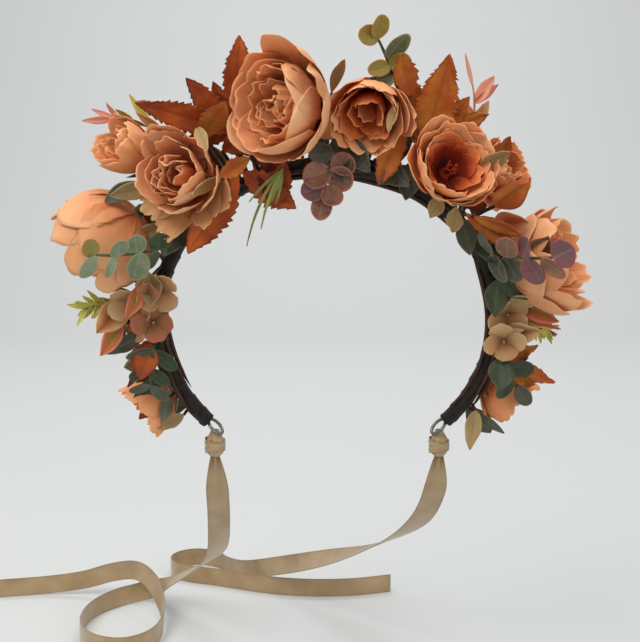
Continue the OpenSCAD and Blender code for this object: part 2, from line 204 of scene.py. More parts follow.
class Shader:
    """A material's node tree with the few nodes that these materials share."""

    def __init__(self, name, roughness, sheen=0.0, specular=0.5):
        self.material = bpy.data.materials.new(name)
        self.material.use_nodes = True
        self.tree = self.material.node_tree
        self.set({"Roughness": roughness, "Sheen Weight": sheen, "Sheen Roughness": 0.5,
                  "Specular IOR Level": specular})

    def feed(self, socket, value):
        """Links value to socket if it comes out of a node, and sets it otherwise."""
        if isinstance(value, bpy.types.NodeSocket):
            self.tree.links.new(value, socket)
        else:
            socket.default_value = value

    def set(self, values):
        for key, value in values.items():
            self.feed(self.tree.nodes["Principled BSDF"].inputs[key], value)

    def node(self, kind, **values):
        n = self.tree.nodes.new(kind)
        for key, value in values.items():
            if key in n.inputs:
                self.feed(n.inputs[key], value)
            else:
                setattr(n, key, value)
        return n

    def attribute(self, name):
        return self.node("ShaderNodeAttribute", attribute_name=name).outputs["Fac"]

    def noise(self, scale, detail):
        where = self.node("ShaderNodeTexCoord").outputs["Object"]
        n = self.node("ShaderNodeTexNoise", Scale=scale, Detail=detail, Vector=where)
        return n.outputs["Fac"]

    def math(self, operation, a, b):
        n = self.node("ShaderNodeMath", operation=operation)
        self.feed(n.inputs[0], a)
        self.feed(n.inputs[1], b)
        return n.outputs[0]

    def ramp(self, fac, stops):
        n = self.node("ShaderNodeValToRGB", Fac=fac)
        elements = n.color_ramp.elements
        while len(elements) < len(stops):
            elements.new(0.5)
        for e, (place, colour) in zip(elements, stops):
            e.position, e.color = place, colour
        return n.outputs["Color"]

    def mix(self, fac, a, b, blend="MIX"):
        n = self.node("ShaderNodeMix", data_type="RGBA", blend_type=blend)
        # a mix node's colour inputs are its seventh and eighth, and its colour output its third
        for index, value in ((0, fac), (6, a), (7, b)):
            self.feed(n.inputs[index], value)
        return n.outputs[2]

    def shade(self, base, attribute, low, high):
        """base times a colour that goes from low to high with the attribute."""
        tint = self.ramp(self.attribute(attribute), [(0, low), (1, high)])
        return self.mix(1.0, base, tint, "MULTIPLY")

    def bump(self, height, strength, distance):
        n = self.node("ShaderNodeBump", Strength=strength, Distance=distance, Height=height)
        self.set({"Normal": n.outputs["Normal"]})

    def colour(self, value):
        self.set({"Base Color": value})
        return self.material


def petal_material(name, deep, body, edge):
    """Cloth petal: deep dye at the foot, paler towards the rim, mottled, with a fine weave."""
    s = Shader(name, 0.8, sheen=0.12, specular=0.15)
    s.set({"Sheen Tint": edge, "Subsurface Weight": 0.2, "Subsurface Radius": (1.0, 0.45, 0.22),
           "Subsurface Scale": 0.002})
    reach = s.math("ADD", s.attribute("reach"), s.math("MULTIPLY", s.noise(110, 4), 0.4))
    base = s.ramp(s.math("SUBTRACT", reach, 0.2), [(0.05, deep), (0.5, body), (1.0, edge)])
    base = s.shade(base, "tone", (0.80, 0.70, 0.62, 1), WHITE)
    base = s.shade(base, "vein", WHITE, (0.80, 0.66, 0.55, 1))
    weave = s.math("ADD", s.noise(5200, 1), s.math("MULTIPLY", s.noise(500, 4), 1.2))
    s.bump(weave, 0.3, 0.0003)
    return s.colour(base)


def leaf_material(name, middle, body, rim, vein):
    """Printed cloth leaf: two dyes in soft patches, a dyed rim, and printed veins."""
    s = Shader(name, SMOOTH_LEAVES.get(name, 0.6), sheen=0.08, specular=0.3)
    blotch = s.ramp(s.noise(75, 4), [(0.35, middle), (0.6, body)])
    out = s.math("ADD", s.attribute("reach"), s.math("MULTIPLY", s.noise(260, 4), 0.5))
    rim_share = s.ramp(s.math("SUBTRACT", out, 0.25),
                       [(0.66, (0, 0, 0, 1)), (1.0, (0.75, 0.75, 0.75, 1))])
    base = s.shade(s.mix(rim_share, blotch, rim), "tone", (0.66, 0.60, 0.56, 1), WHITE)
    base = s.mix(s.attribute("vein"), base, vein)
    height = s.math("SUBTRACT", s.math("MULTIPLY", s.noise(1400, 3), 0.8), s.attribute("vein"))
    s.bump(height, 0.4, 0.0004)
    return s.colour(base)


def stalk_material(name, dark, light):
    """A thin wire in plastic or paper, a little mottled."""
    s = Shader(name, 0.62, specular=0.3)
    s.bump(s.noise(900, 3), 0.3, 0.0003)
    return s.colour(s.ramp(s.noise(260, 3), [(0.3, dark), (0.7, light)]))


def tape_material():
    """Waxed crepe floral tape: near black, with fine crepe wrinkles along the winding."""
    s = Shader("floral_tape", 0.62, sheen=0.08, specular=0.25)
    s.bump(s.math("ADD", s.noise(2600, 3), s.noise(500, 2)), 0.6, 0.0005)
    return s.colour(s.ramp(s.noise(220, 4), [(0.35, rgb(14, 10, 7)), (0.7, rgb(40, 27, 18))]))


def satin_material():
    """Satin ribbon: a warp sheen across fine cross ribs, with a corded selvedge."""
    s = Shader("satin_ribbon", 0.34, sheen=0.35, specular=0.55)
    s.set({"Anisotropic": 0.5})
    edge = s.math("POWER", s.attribute("edge"), 14.0)
    cloud = s.ramp(s.noise(60, 3), [(0.3, rgb(146, 118, 80)), (0.7, rgb(170, 144, 104))])
    ribs = s.math("SINE", s.math("MULTIPLY", s.attribute("along"), 14000.0), 0.0)
    s.bump(s.math("ADD", s.math("MULTIPLY", ribs, 0.25), s.noise(3000, 2)), 0.12, 0.0002)
    return s.colour(s.mix(edge, cloud, rgb(128, 100, 62)))


def wire_material():
    s = Shader("florist_wire", 0.38)
    s.set({"Metallic": 1.0})
    s.bump(s.noise(1500, 2), 0.15, 0.0002)
    return s.colour(s.ramp(s.noise(300, 2), [(0.3, rgb(105, 100, 92)), (0.7, rgb(140, 136, 130))]))


# Dyes at a petal's foot, over its body and at its rim.
PETAL_DYES = {
    "petal_peach": ((180, 74, 24), (226, 144, 92), (234, 168, 122)),
    "petal_pale": ((188, 98, 52), (220, 149, 104), (232, 174, 130)),
    "petal_deep": ((92, 14, 4), (190, 84, 36), (228, 142, 88)),
    "petal_heart": ((60, 4, 2), (132, 34, 12), (206, 104, 58)),
    "petal_tan": ((144, 84, 42), (198, 146, 98), (214, 168, 122)),
    "petal_cream": ((126, 86, 52), (184, 146, 104), (200, 164, 124)),
    # a darker, rosier copy of the hydrangea tan: its darkening is painted shade
    "petal_rosy": ((104, 72, 40), (152, 104, 72), (170, 100, 78)),
    "petal_coral": ((140, 116, 58), (186, 96, 66), (212, 136, 116)),
}
# A leaf's two dyes, and those of its rim and its veins.
LEAF_DYES = {
    "leaf_rust": ((186, 88, 20), (146, 58, 14), (104, 36, 10), (120, 48, 14)),
    "leaf_red": ((120, 34, 12), (96, 24, 12), (70, 16, 10), (80, 22, 12)),
    "leaf_gold": ((204, 130, 44), (178, 86, 26), (142, 54, 16), (146, 76, 24)),
    "leaf_tan": ((166, 142, 92), (150, 124, 78), (186, 150, 104), (128, 108, 70)),
    "leaf_grey_green": ((100, 120, 78), (138, 148, 118), (172, 164, 132), (154, 162, 130)),
    "leaf_yellow_green": ((150, 148, 56), (160, 134, 66), (204, 134, 84), (122, 122, 58)),
    "leaf_mauve": ((104, 76, 60), (146, 102, 80), (196, 108, 88), (158, 126, 102)),
    "leaf_plum": ((96, 80, 78), (120, 70, 74), (146, 62, 70), (150, 120, 116)),
    "leaf_slate": ((62, 66, 52), (84, 84, 68), (112, 102, 82), (104, 104, 84)),
    "leaf_dark_green": ((42, 54, 30), (60, 74, 46), (86, 86, 56), (80, 92, 62)),
    "sprig_pink": ((220, 160, 132), (224, 140, 122), (214, 118, 104), (206, 170, 116)),
    "sprig_tan": ((196, 172, 98), (206, 152, 100), (214, 136, 112), (176, 140, 84)),
    "sprig_yellow_green": ((172, 168, 66), (206, 196, 92), (222, 210, 124), (158, 156, 70)),
    "leaf_grass": ((104, 118, 52), (134, 142, 70), (150, 156, 84), (96, 108, 50)),
}
# The roughness of the leaves that are smoother than the rest.
SMOOTH_LEAVES = {
    "leaf_grey_green": 0.45, "leaf_slate": 0.45, "leaf_dark_green": 0.45,
    "leaf_yellow_green": 0.5, "leaf_mauve": 0.5, "leaf_plum": 0.5,
}
STALK_DYES = {
    "stalk_green": ((50, 60, 34), (92, 98, 60)),
    "stalk_brown": ((34, 17, 10), (78, 44, 25)),
    "stalk_pink": ((150, 110, 80), (196, 150, 120)),
}
MATERIALS = {"floral_tape": tape_material(), "satin_ribbon": satin_material(),
             "wire": wire_material()}
for make, table in ((petal_material, PETAL_DYES), (leaf_material, LEAF_DYES),
                    (stalk_material, STALK_DYES)):
    for name, dyes in table.items():
        MATERIALS[name] = make(name, *[rgb(*dye) for dye in dyes])
# The record's slot that each material stands for, where the names differ.
SLOTS = {
    "petal_heart": "petal_deep", "petal_tan": "hydrangea_tan", "petal_cream": "hydrangea_tan",
    "petal_rosy": "hydrangea_tan", "petal_coral": "lily_coral", "leaf_red": "leaf_rust",
    "leaf_tan": "leaf_gold", "leaf_yellow_green": "leaf_grey_green", "leaf_plum": "leaf_mauve",
    "leaf_slate": "leaf_dark_green", "leaf_grass": "leaf_grey_green",
    "stalk_green": "stem_green", "stalk_brown": "stem_green", "stalk_pink": "stem_green",
}
# Short names of the materials that the shapes below take.
PEACH, PALE, DEEP, HEART = "petal_peach", "petal_pale", "petal_deep", "petal_heart"
CREAM, SHADED_ROSY, FADED, CORAL = "petal_cream", "petal_rosy", "petal_tan", "petal_coral"
RUST, RED, GOLD, TAN = "leaf_rust", "leaf_red", "leaf_gold", "leaf_tan"
GREY, YELLOW, MAUVE, PLUM = "leaf_grey_green", "leaf_yellow_green", "leaf_mauve", "leaf_plum"
SLATE, DARK, GRASS = "leaf_slate", "leaf_dark_green", "leaf_grass"
PINK, STRAW, LIME = "sprig_pink", "sprig_tan", "sprig_yellow_green"
GREEN_WIRE, BROWN_WIRE, PINK_WIRE = "stalk_green", "stalk_brown", "stalk_pink"


# ---- mesh building ---------------------------------------------------------
class Sheets:
    """Grids and tubes gathered into one mesh, with values at each point for the materials."""

    def __init__(self):
        self.points, self.faces, self.slots, self.names = [], [], [], []
        self.values = {"reach": [], "tone": [], "vein": [], "edge": [], "along": []}
        self.count = 0

    def grid(self, points, material, closed=False, capped=False, **values):
        """Adds rows x columns x 3 points.

        closed joins the last column to the first, and capped fills the first and last rows.
        """
        if material not in self.names:
            self.names.append(material)
        rows, cols = points.shape[:2]
        faces = [(r * cols + c, r * cols + (c + 1) % cols, (r + 1) * cols + (c + 1) % cols,
                  (r + 1) * cols + c)
                 for r in range(rows - 1) for c in range(cols if closed else cols - 1)]
        if capped:
            faces += [tuple(reversed(range(cols))), tuple(range((rows - 1) * cols, rows * cols))]
        self.points.append(points.reshape(-1, 3))
        self.faces += [tuple(i + self.count for i in f) for f in faces]
        self.slots += [self.names.index(material)] * len(faces)
        for key, store in self.values.items():
            store.append(np.broadcast_to(values.get(key, 0.0), (rows, cols)).ravel())
        self.count += rows * cols

    def tube(self, path, radius, material, sides=8, tone=1.0):
        """A closed round tube along path; radius is one number or one a point."""
        path = np.asarray(path, float)
        along = unit(np.gradient(path, axis=0))
        side = np.cross(along[0], (0.3, 0.5, 0.8))
        a = np.linspace(0, 2 * math.pi, sides, endpoint=False)[:, None]
        rings = []
        for p, t, r in zip(path, along, np.broadcast_to(radius, len(path))):
            side = unit(side - (side @ t) * t)
            rings.append(p + r * (np.cos(a) * side + np.sin(a) * np.cross(t, side)))
        self.grid(np.array(rings), material, closed=True, capped=True, tone=tone, reach=0.5)

    def make(self, name, place=IN_PLACE, thickness=0.0):
        mesh = bpy.data.meshes.new(name)
        mesh.from_pydata((placed(np.vstack(self.points), place) * MM).tolist(), [], self.faces)
        for key, store in self.values.items():
            data = np.concatenate(store).astype(np.float32)
            mesh.attributes.new(key, "FLOAT", "POINT").data.foreach_set("value", data)
        for n in self.names:
            mesh.materials.append(MATERIALS[n])
        mesh.polygons.foreach_set("material_index", self.slots)
        mesh.polygons.foreach_set("use_smooth", [True] * len(mesh.polygons))
        mesh.update()
        piece = add_object(name, mesh)
        if thickness:
            thick = piece.modifiers.new("thickness", "SOLIDIFY")
            thick.thickness, thick.offset = thickness * MM, 0
            thick.use_quality_normals = True
        first = self.names[0]
        SLOTS.get(first, first)
        return piece

    def make_for(self, node, name, *how):
        """Makes the piece that takes a CAD node's place on its body."""
        piece = self.make(name, *how)
        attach(piece, BODY[node])
        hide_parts(node)


def add_object(name, data):
    made = bpy.data.objects.new(name, data)
    scene.collection.objects.link(made)
    return made


def put(sheets, built, place, material, closed=False, tone=1.0):
    """Adds a built petal or leaf at place = (rotation, origin)."""
    points, values = built
    sheets.grid(placed(points, place), material, closed=closed, tone=tone, **values)


def waves(rng, count, low, high):
    """A smooth random function of one variable, about -1 to 1."""
    f = rng.uniform(low, high, count)
    phase = rng.uniform(0, 2 * math.pi, count)
    weight = rng.uniform(0.5, 1, count)
    weight /= weight.sum()
    return lambda x: sum(w * np.sin(a * x + p) for w, a, p in zip(weight, f, phase))


# ---- petals and blooms -----------------------------------------------------
def petal_sheet(rng, length, half_width, foot, open_from, open_to, cup, curl=0.0, ruffle=0.0,
                notch=0.1, point=0.0, scallop=0.0, rows=20, cols=19):
    """One petal in a bloom's frame, rising from foot = (radius, z) at angle 0.

    Its midline starts open_from degrees out from the axis and ends at open_to; cup bends it
    round the axis, curl rolls its rim outwards, ruffle waves its rim, notch breaks it, point
    narrows its tip, and scallop cuts small waves in it.  Returns its points and their values.
    """
    u = np.linspace(-1, 1, cols)[None, :]
    v = np.linspace(0, 1, rows)[:, None]
    rim, wave, crease = waves(rng, 4, 4, 11), waves(rng, 4, 3, 8), waves(rng, 4, 7, 20)
    fold = waves(rng, 3, 2, 5)
    outline = 1 - 0.36 * np.abs(u) ** 2.6 - notch * 0.35 * (1 + rim(u)) * (1 - 0.5 * u ** 2)
    outline = outline - point * 0.42 * np.abs(u) ** 1.2
    lobes = rng.uniform(2.2, 3.4)
    outline = outline - scallop * (1 - np.abs(np.sin(lobes * math.pi * (u + rng.uniform())))) ** 2
    s = v * outline
    width = half_width * (0.22 + 0.78 * np.sin(np.clip(s * 1.25, 0, 1) ** 0.85 * math.pi / 2))
    width = width * (1 + 0.05 * rim(3 * v + 7)) * (1 - 0.3 * point * v ** 2)
    # midline by summing small steps of a bending angle
    fine = np.linspace(0, 1, 81)
    angle = np.radians(open_from + (open_to - open_from) * fine ** 0.9)
    r_mid = foot[0] + length * np.concatenate([[0], np.cumsum(np.sin(angle[1:]) / 80)])
    z_mid = foot[1] + length * np.concatenate([[0], np.cumsum(np.cos(angle[1:]) / 80)])
    r = np.interp(s, fine, r_mid)
    z = np.interp(s, fine, z_mid)
    a = np.interp(s, fine, angle)
    bend = half_width / cup
    lateral = u * width
    across = bend * np.sin(lateral / bend)
    inward = bend * (1 - np.cos(lateral / bend)) * (0.35 + 0.65 * s)
    inward = inward - curl * s ** 4 * (0.6 + 0.4 * np.abs(u))
    inward = inward + ruffle * wave(u * 1.6 + 0.4 * v) * s ** 3
    inward = inward + 0.22 * crease(u * 1.3) * np.sin(math.pi * s)
    inward = inward + 0.03 * half_width * fold(1.5 * u + 2.5 * v) * s
    x = r - inward * np.cos(a)
    z = z + inward * np.sin(a)
    points = np.stack([x, across, z * np.ones_like(u)], axis=-1)
    streak = np.clip(0.5 + 0.9 * crease(u * 1.3 + 0.1 * v), 0, 1) * np.clip(1.1 - 1.2 * s, 0, 1)
    return points, {"reach": np.clip(s, 0, 1), "vein": streak * 0.7}


class Bloom(Sheets):
    """A bloom's petals in its own frame.

    k scales the petals' lengths and widths, and foot is the height of the bloom's back.
    """

    def __init__(self, rng, k, foot):
        super().__init__()
        self.rng, self.k, self.foot = rng, k, foot

    def petal(self, material, where, length, half_width, at, *shape, tilt=0.0, **more):
        """One petal turned where degrees round the axis, rising from at = (radius, height)."""
        built = petal_sheet(self.rng, length * self.k, half_width * self.k,
                            (at[0], self.foot + at[1]), *shape, **more)
        m = turn_about("z", where) @ turn_about("x", tilt)
        put(self, built, (m, 0), material, tone=self.rng.uniform(0.35, 1))

    def ring(self, material, angles, length, half_width, at, open_from, open_to, cup, curl=0.0,
             ruffle=0.0, notch=0.1, loose=1.0, **more):
        """Petals round the axis, each a little different; angles is (count, start) or a list."""
        if isinstance(angles, tuple):
            count, start = angles
            angles = [start + i * 360 / count for i in range(count)]
        for where in angles:
            jitter = self.rng.normal(0, 1, 6) * loose
            self.petal(material, where + 6 * jitter[4], length * (1 + 0.06 * jitter[0]),
                       half_width * (1 + 0.06 * jitter[1]), at, open_from + 4 * jitter[2],
                       open_to + 7 * jitter[3], cup, curl, ruffle, notch, tilt=4 * jitter[5],
                       **more)


def ruffled_heart(b, size=1.0):
    """The crumpled petals in the middle of a double peony."""
    rng, k = b.rng, b.k
    for reach, half, foot, out, end, count in (
            (27, 9.5, 2.4, 50, -16, 6), (25, 8.5, 1.8, 36, -22, 6), (22, 6.5, 1.2, 22, -22, 4)):
        for i in range(count):
            lean = rng.uniform(-10, 10)
            b.petal(PEACH, 360 * i / count + rng.uniform(-22, 22),
                    reach * size * rng.uniform(0.88, 1.1), half * size, (foot * k, 2), out + lean,
                    end + lean, 1.15, 0.3, 3.0 * k, 0.12, scallop=0.05, tilt=rng.uniform(-9, 9))


def top_peony(b):
    """The big peony: tall pointed petals behind, smooth ones closing over from the near side."""
    k = b.k
    b.ring(PALE, [-34, -4, 26], 47, 19, (3 * k, 0), 80, -2, 0.9, 1.0, 1.6, 0.12, 0.6, point=0.7)
    b.ring(PEACH, [70, 108, 146], 35, 17, (3 * k, 0), 84, 8, 0.9, 2.0, 1.4, 0.05, 0.7)
    b.ring(PALE, [-60, -108, -158, -205], 37, 18, (3 * k, 0), 86, 6, 0.95, 1.6, 0.7, 0.06, 0.6)
    b.ring(PEACH, [5, 60, 118, 170], 34, 16, (3 * k, 0.7), 80, -4, 0.95, 1.2, 1.8, 0.06, 0.8,
           scallop=0.02)
    b.ring(PALE, [-34, -84, -132], 40, 18, (3 * k, 0.7), 82, -24, 1.0, 0.5, 0.5, 0.05, 0.5)
    b.ring(PALE, [-20, -70, -122], 36, 14, (2.6 * k, 1), 70, -28, 1.05, 0.5, 0.9, 0.1, 0.7)
    b.ring(PEACH, [40, 95, 150, 200], 31, 12, (2.6 * k, 1), 68, -12, 1.0, 0.8, 2.4, 0.08, 1.4,
           scallop=0.04)
    ruffled_heart(b)


def side_peony(b, near, mouth=0.0):
    """A peony seen from its side: broad petals closing over in a dome, their rims stepped down it.

    near is the angle of the viewer's side, and mouth opens the petals by that many degrees.
    """
    k = b.k
    for a, length, width, end in ((150, 42, 18, -12), (-150, 42, 18, -12), (98, 46, 19, -20),
                                  (-96, 44, 19, -20), (48, 48, 19, -24), (-44, 47, 18, -24),
                                  (4, 50, 18, -28)):
        b.petal(PALE, near + a, length, width, (3 * k, 1.2), 84, end + mouth, 1.0, 0.9, 1.3,
                0.08, point=0.35)
    for a, length, width, end in ((168, 32, 19, -6), (-118, 38, 20, -8), (116, 40, 20, -10),
                                  (-58, 40, 20, -12), (60, 42, 20, -12), (0, 41, 22, -12)):
        b.petal(PALE, near + a, length, width, (3 * k, 0), 92, end + mouth, 0.95, 1.0, 0.8,
                0.06, point=0.2, tilt=b.rng.uniform(-4, 4))
    b.ring(PEACH, (6, near + 20), 38, 12, (2.6 * k, 1.6), 60, mouth - 18, 1.05, 0.6, 1.6,
           0.14, 1.0, scallop=0.05)
    ruffled_heart(b, 1.1)


def cup_rose(b):
    """A rose cup, taller than wide, with a deep throat and scalloped rims."""
    k = b.k
    b.ring(PEACH, (5, 0), 31, 13, (2.6, 0), 66, 0, 0.95, 1.4 * k, k, 0.08, 0.8, scallop=0.04)
    b.ring(PEACH, (5, 36), 30, 12, (2.4, 0.7), 60, -2, 1.0, k, 1.1 * k, 0.1, 0.9, scallop=0.06)
    b.ring(DEEP, (5, 10), 26, 10, (2.2, 1), 52, 0, 1.0, 0.9, k, 0.12, 1.0, scallop=0.06)
    b.ring(DEEP, (4, 46), 22, 8.5, (1.8, 1.5), 44, -4, 1.1, 0.6, 1.2 * k, 0.15, 1.5, scallop=0.05)
    b.ring(PEACH, (3, 100), 20, 7.5, (1.2, 2), 30, -8, 1.2, 0.6, 1.2 * k, 0.15, 2.0)


def front_rose(b):
    """The rose beside the middle: a cup with one lip petal rolling out towards the viewer."""
    cup_rose(b)
    b.petal(PEACH, 62, 31, 12, (2.6, 0), 74, 46, 0.8, 4.0, 1.4, 0.06)
    b.petal(PALE, -150, 33, 12, (2.6, 0), 70, 8, 0.8, 2.0, 1.4, 0.1)


def open_rose(b):
    """A wide cup of scalloped petals round a dark red hollow with a tuft of stamens."""
    rng, k = b.rng, b.k
    b.ring(PEACH, (6, 0), 28, 13.5, (3, 0), 86, 8, 0.85, 1.6 * k, 1.2 * k, 0.08, 0.8, scallop=0.05)
    b.ring(PEACH, [-158, -112, -66], 31, 14.5, (3, 0), 84, -14, 0.9, 1.2 * k, 1.2 * k, 0.08, 0.7,
           scallop=0.05)
    b.ring(PEACH, (6, 30), 26.5, 12.5, (3, 0.6), 80, 4, 0.9, 1.2 * k, 1.4 * k, 0.1, 0.8,
           scallop=0.06)
    b.ring(PEACH, (5, 10), 24, 12, (3, 1), 76, 2, 0.95, k, 1.2 * k, 0.12, 0.9, scallop=0.08)
    b.ring(DEEP, (6, 40), 20, 9.5, (3, 1.3), 74, 6, 1.0, 0.6, k, 0.12, 0.8, scallop=0.07)
    b.ring(HEART, (6, 14), 16, 8, (3, 1.6), 78, 10, 1.0, 0.3, 0.7 * k, 0.12, 0.8, scallop=0.06)
    for _ in range(26):
        a = rng.uniform(0, 2 * math.pi)
        way = np.array([math.cos(a), math.sin(a), 0])
        tip = rng.uniform(1.2, 3.6) * way + (0, 0, rng.uniform(5, 8.5))
        path = smooth_path([0.4 * way, 0.5 * (0.4 * way + tip) + (0, 0, 1), tip], 3)
        path += (0, 0, b.foot + 2)
        b.tube(path, [0.25] * (len(path) - 2) + [0.55, 0.5], HEART, sides=5,
               tone=rng.uniform(0, 0.6))


def ruffled(b, material=PALE, outer=FADED):
    """A half-open frilled peony; flat outer petals hang below it, on its low side."""
    rng, k, low = b.rng, b.k, 225
    b.ring(outer, [low - 46, low - 12, low + 24, low + 62], 31, 11, (3, 0), 88, 42, 0.7, 1.4,
           1.4 * k, 0.2, 0.8, scallop=0.08)
    b.ring(material, (5, low), 30, 14.5, (3, 0.6), 84, 2, 0.9, 1.0, 1.4 * k, 0.12, 1.0,
           scallop=0.06)
    b.ring(material, (4, low + 30), 29, 13, (2.6, 1), 74, -14, 1.0, 0.6, 1.8 * k, 0.12, 1.6,
           scallop=0.05)
    b.ring(material, [low - 60, low + 50, low + 170], 29, 11, (2.2, 1.5), 60, -22, 1.1, 0.3,
           2.4 * k, 0.16, 2.2, scallop=0.06)
    for _ in range(5):
        b.petal(material, rng.uniform(0, 360), 25, 10, (rng.uniform(1, 5), 2), rng.uniform(20, 48),
                rng.uniform(-34, -10), 1.2, 0.2, 3.2 * k, 0.2, tilt=rng.uniform(-12, 12))
    for _ in range(3):
        b.petal(PEACH, rng.uniform(0, 360), 19, 7.5, (1.4, 2.5), 28, -18, 1.2, 0.2, 2.8 * k,
                0.2, tilt=rng.uniform(-10, 10))


def closed_bud(b):
    b.ring(PEACH, (5, 0), 31, 12, (1.6, 0), 62, -8, 1.0, 0.9, 1.0, 0.12, scallop=0.06)
    b.ring(PEACH, (4, 45), 29, 10.5, (1.4, 1), 54, -10, 1.1, 0.6, 1.2, 0.14, scallop=0.06)
    b.ring(PEACH, (4, 20), 26, 8, (1.2, 1), 38, -12, 1.3, 0.3, 1.4, 0.16, 1.5, scallop=0.08)


# Blooms: seed, the radius that the shape's sizes are for, sepals, and the shape.
BLOOM_SHAPES = {
    "top_peony": (11, 24, 5, top_peony),
    "top_rose": (21, 14, 5, front_rose),
    "open_rose": (31, 21, 6, open_rose),
    "back_peony": (41, 20, 5, lambda b: ruffled(b, PEACH, PALE)),
    "ruffled_peony": (51, 20, 7, ruffled),
    "side_bud": (61, 10, 6, closed_bud),
    "left_peony": (71, 24 / 1.08, 6, lambda b: side_peony(b, -84)),
    "left_end_rose": (81, 14, 5, cup_rose),
    "right_peony": (93, 24, 6, lambda b: side_peony(b, -112, 14)),
    "right_end_rose": (101, 14, 5, cup_rose),
}


def add_calyx(b, count, length):
    """A swelling where the petals meet, and sepals hugging the bloom's back."""
    rng, foot = b.rng, b.foot
    b.tube([(0, 0, foot + 0.2), (0, 0, foot + 1.2), (0, 0, foot + 1.9)], [3.6, 3.2, 1.2], HEART)
    for i in range(count):
        points, values = petal_sheet(rng, length * rng.uniform(0.85, 1.2), 0.26 * length,
                                     (1.5, foot - 0.6), 84, 25, 0.7, notch=0.0, rows=9, cols=7)
        points[..., 1] *= 1 - 0.85 * values["reach"] ** 2
        m = turn_about("z", i * 360 / count + rng.uniform(-14, 14))
        put(b, (points, values), (m, 0), TAN, tone=rng.uniform(0.3, 1))


def add_stem(name, row):
    """Calyx cup and wrapped stem from the bloom's back into the tape."""
    rotation, origin = bloom_place(row)
    axis = rotation[:, 2]
    back = origin - 0.5 * row[7] * axis
    low = back - 4.5 * axis
    root = spot(row[8], TAPE_R - 2, 0)
    path = smooth_path([root, 0.5 * (low + root) - 1.5 * axis, low, back - 0.3 * axis], 6)
    swell = np.interp(np.linspace(0, 1, len(path)), [0, 0.7, 0.85, 1], [1.3, 1.2, 2.4, 3.0])
    s = Sheets()
    s.tube(path, swell, GREEN_WIRE, sides=10)
    s.make_for(name + "_stem", name + "_stalk")


def build_blooms():
    for name, (seed, drawn_r, sepals, draw) in BLOOM_SHAPES.items():
        row = BLOOMS[name]
        r, h = row[6:8]
        b = Bloom(np.random.default_rng(seed), r / drawn_r, -0.5 * h)
        draw(b)
        add_calyx(b, sepals, 0.62 * r + 5)
        b.make_for(name, name + "_petals", bloom_place(row), PETAL_T)
        add_stem(name, row)


# ---- leaves ----------------------------------------------------------------
def sawtooth(x):
    return x - np.floor(x)


def blade(rng, length, width, teeth=0, depth=0.0, fold=12.0, bend=20.0, wave=0.6, widest=0.45,
          cols=11, rows=30, curl=0.0):
    """One leaf blade along +y: folded along its midrib, bent along its length."""
    u = np.linspace(-1, 1, cols)[None, :]
    v = np.linspace(0, 1, rows)[:, None]
    power = math.log(0.5) / math.log(widest)
    half = 0.5 * width * np.sin(math.pi * np.clip(v, 0, 1) ** power) ** 0.85 + 0.12
    outer = np.abs(u) ** 4
    shift = 0.0
    if teeth:
        uneven = waves(rng, 3, 3, 9)
        tooth = sawtooth(teeth * (v + 0.02 * uneven(6 * v)) + 0.3 * (u > 0)) - 0.5
        half = half * (1 - depth * tooth * outer * (1 + 0.4 * uneven(4 * v + 2)))
        shift = 0.02 * length * outer * np.sin(math.pi * v)
    ripple = waves(rng, 3, 4, 9)
    x = u * half + 0.04 * width * ripple(2 * v) * v
    z = np.abs(u * half) * math.tan(math.radians(fold)) + wave * ripple(3 * v + u) * np.abs(u) * v
    z = z - curl * width * (np.abs(u) ** 3) * v
    turn = math.radians(bend) * v
    radius = length / max(math.radians(abs(bend)), 1e-3) * (1 if bend >= 0 else -1)
    y_mid = radius * np.sin(turn) + shift
    z_mid = radius * (1 - np.cos(turn))
    points = np.stack([x, y_mid - z * np.sin(turn), z_mid + z * np.cos(turn)], axis=-1)
    rib = np.exp(-(u / 0.09) ** 2)
    side = np.exp(-((sawtooth(v * 8 - 1.3 * np.abs(u)) - 0.5) / 0.09) ** 2) * 0.5
    vein = np.clip(np.maximum(rib * np.ones_like(v), side * (np.abs(u) < 0.95)), 0, 1)
    reach = np.clip(np.abs(u) ** 1.6 * 0.9 + 0.35 * v ** 3, 0, 1)
    return points, {"reach": reach, "vein": vein * 0.55}


def round_leaf(rng, radius, stretch=1.15, cup=0.18, rows=9, cols=28):
    """An eucalyptus leaf: foot at the origin, growing along +y."""
    a = np.linspace(0, 2 * math.pi, cols, endpoint=False)[None, :]
    v = np.linspace(0.02, 1, rows)[:, None]
    edge = waves(rng, 3, 1, 4)
    r = radius * v * (1 + 0.04 * edge(a))
    x = r * np.sin(a)
    y = radius * stretch - r * stretch * np.cos(a)
    z = cup * radius * v ** 2 + 0.14 * np.abs(x) + 0.05 * radius * edge(2 * a + 3) * v
    points = np.stack([x, y, z], axis=-1)
    rib = np.exp(-(x / (0.08 * radius)) ** 2) * (y < 1.7 * radius * stretch)
    spokes = np.exp(-((sawtooth(a * 10 / (2 * math.pi)) - 0.5) / 0.10) ** 2) * 0.35 * (v > 0.3)
    reach = v ** 2.4 * np.ones_like(a)
    return points, {"reach": reach, "vein": np.clip(np.maximum(rib, spokes), 0, 1) * 0.45}


def petiole(sheets, row, material=BROWN_WIRE, radius=0.8):
    """The thin wire from the tape to a leaf's foot."""
    root = spot(row[6], TAPE_R - 2, 0)
    foot = spot(*row[:3])
    middle = 0.5 * (root + foot) + CROWN @ (0, 0, -1.5)
    sheets.tube(smooth_path([root, middle, foot], 5), radius, material, sides=7)


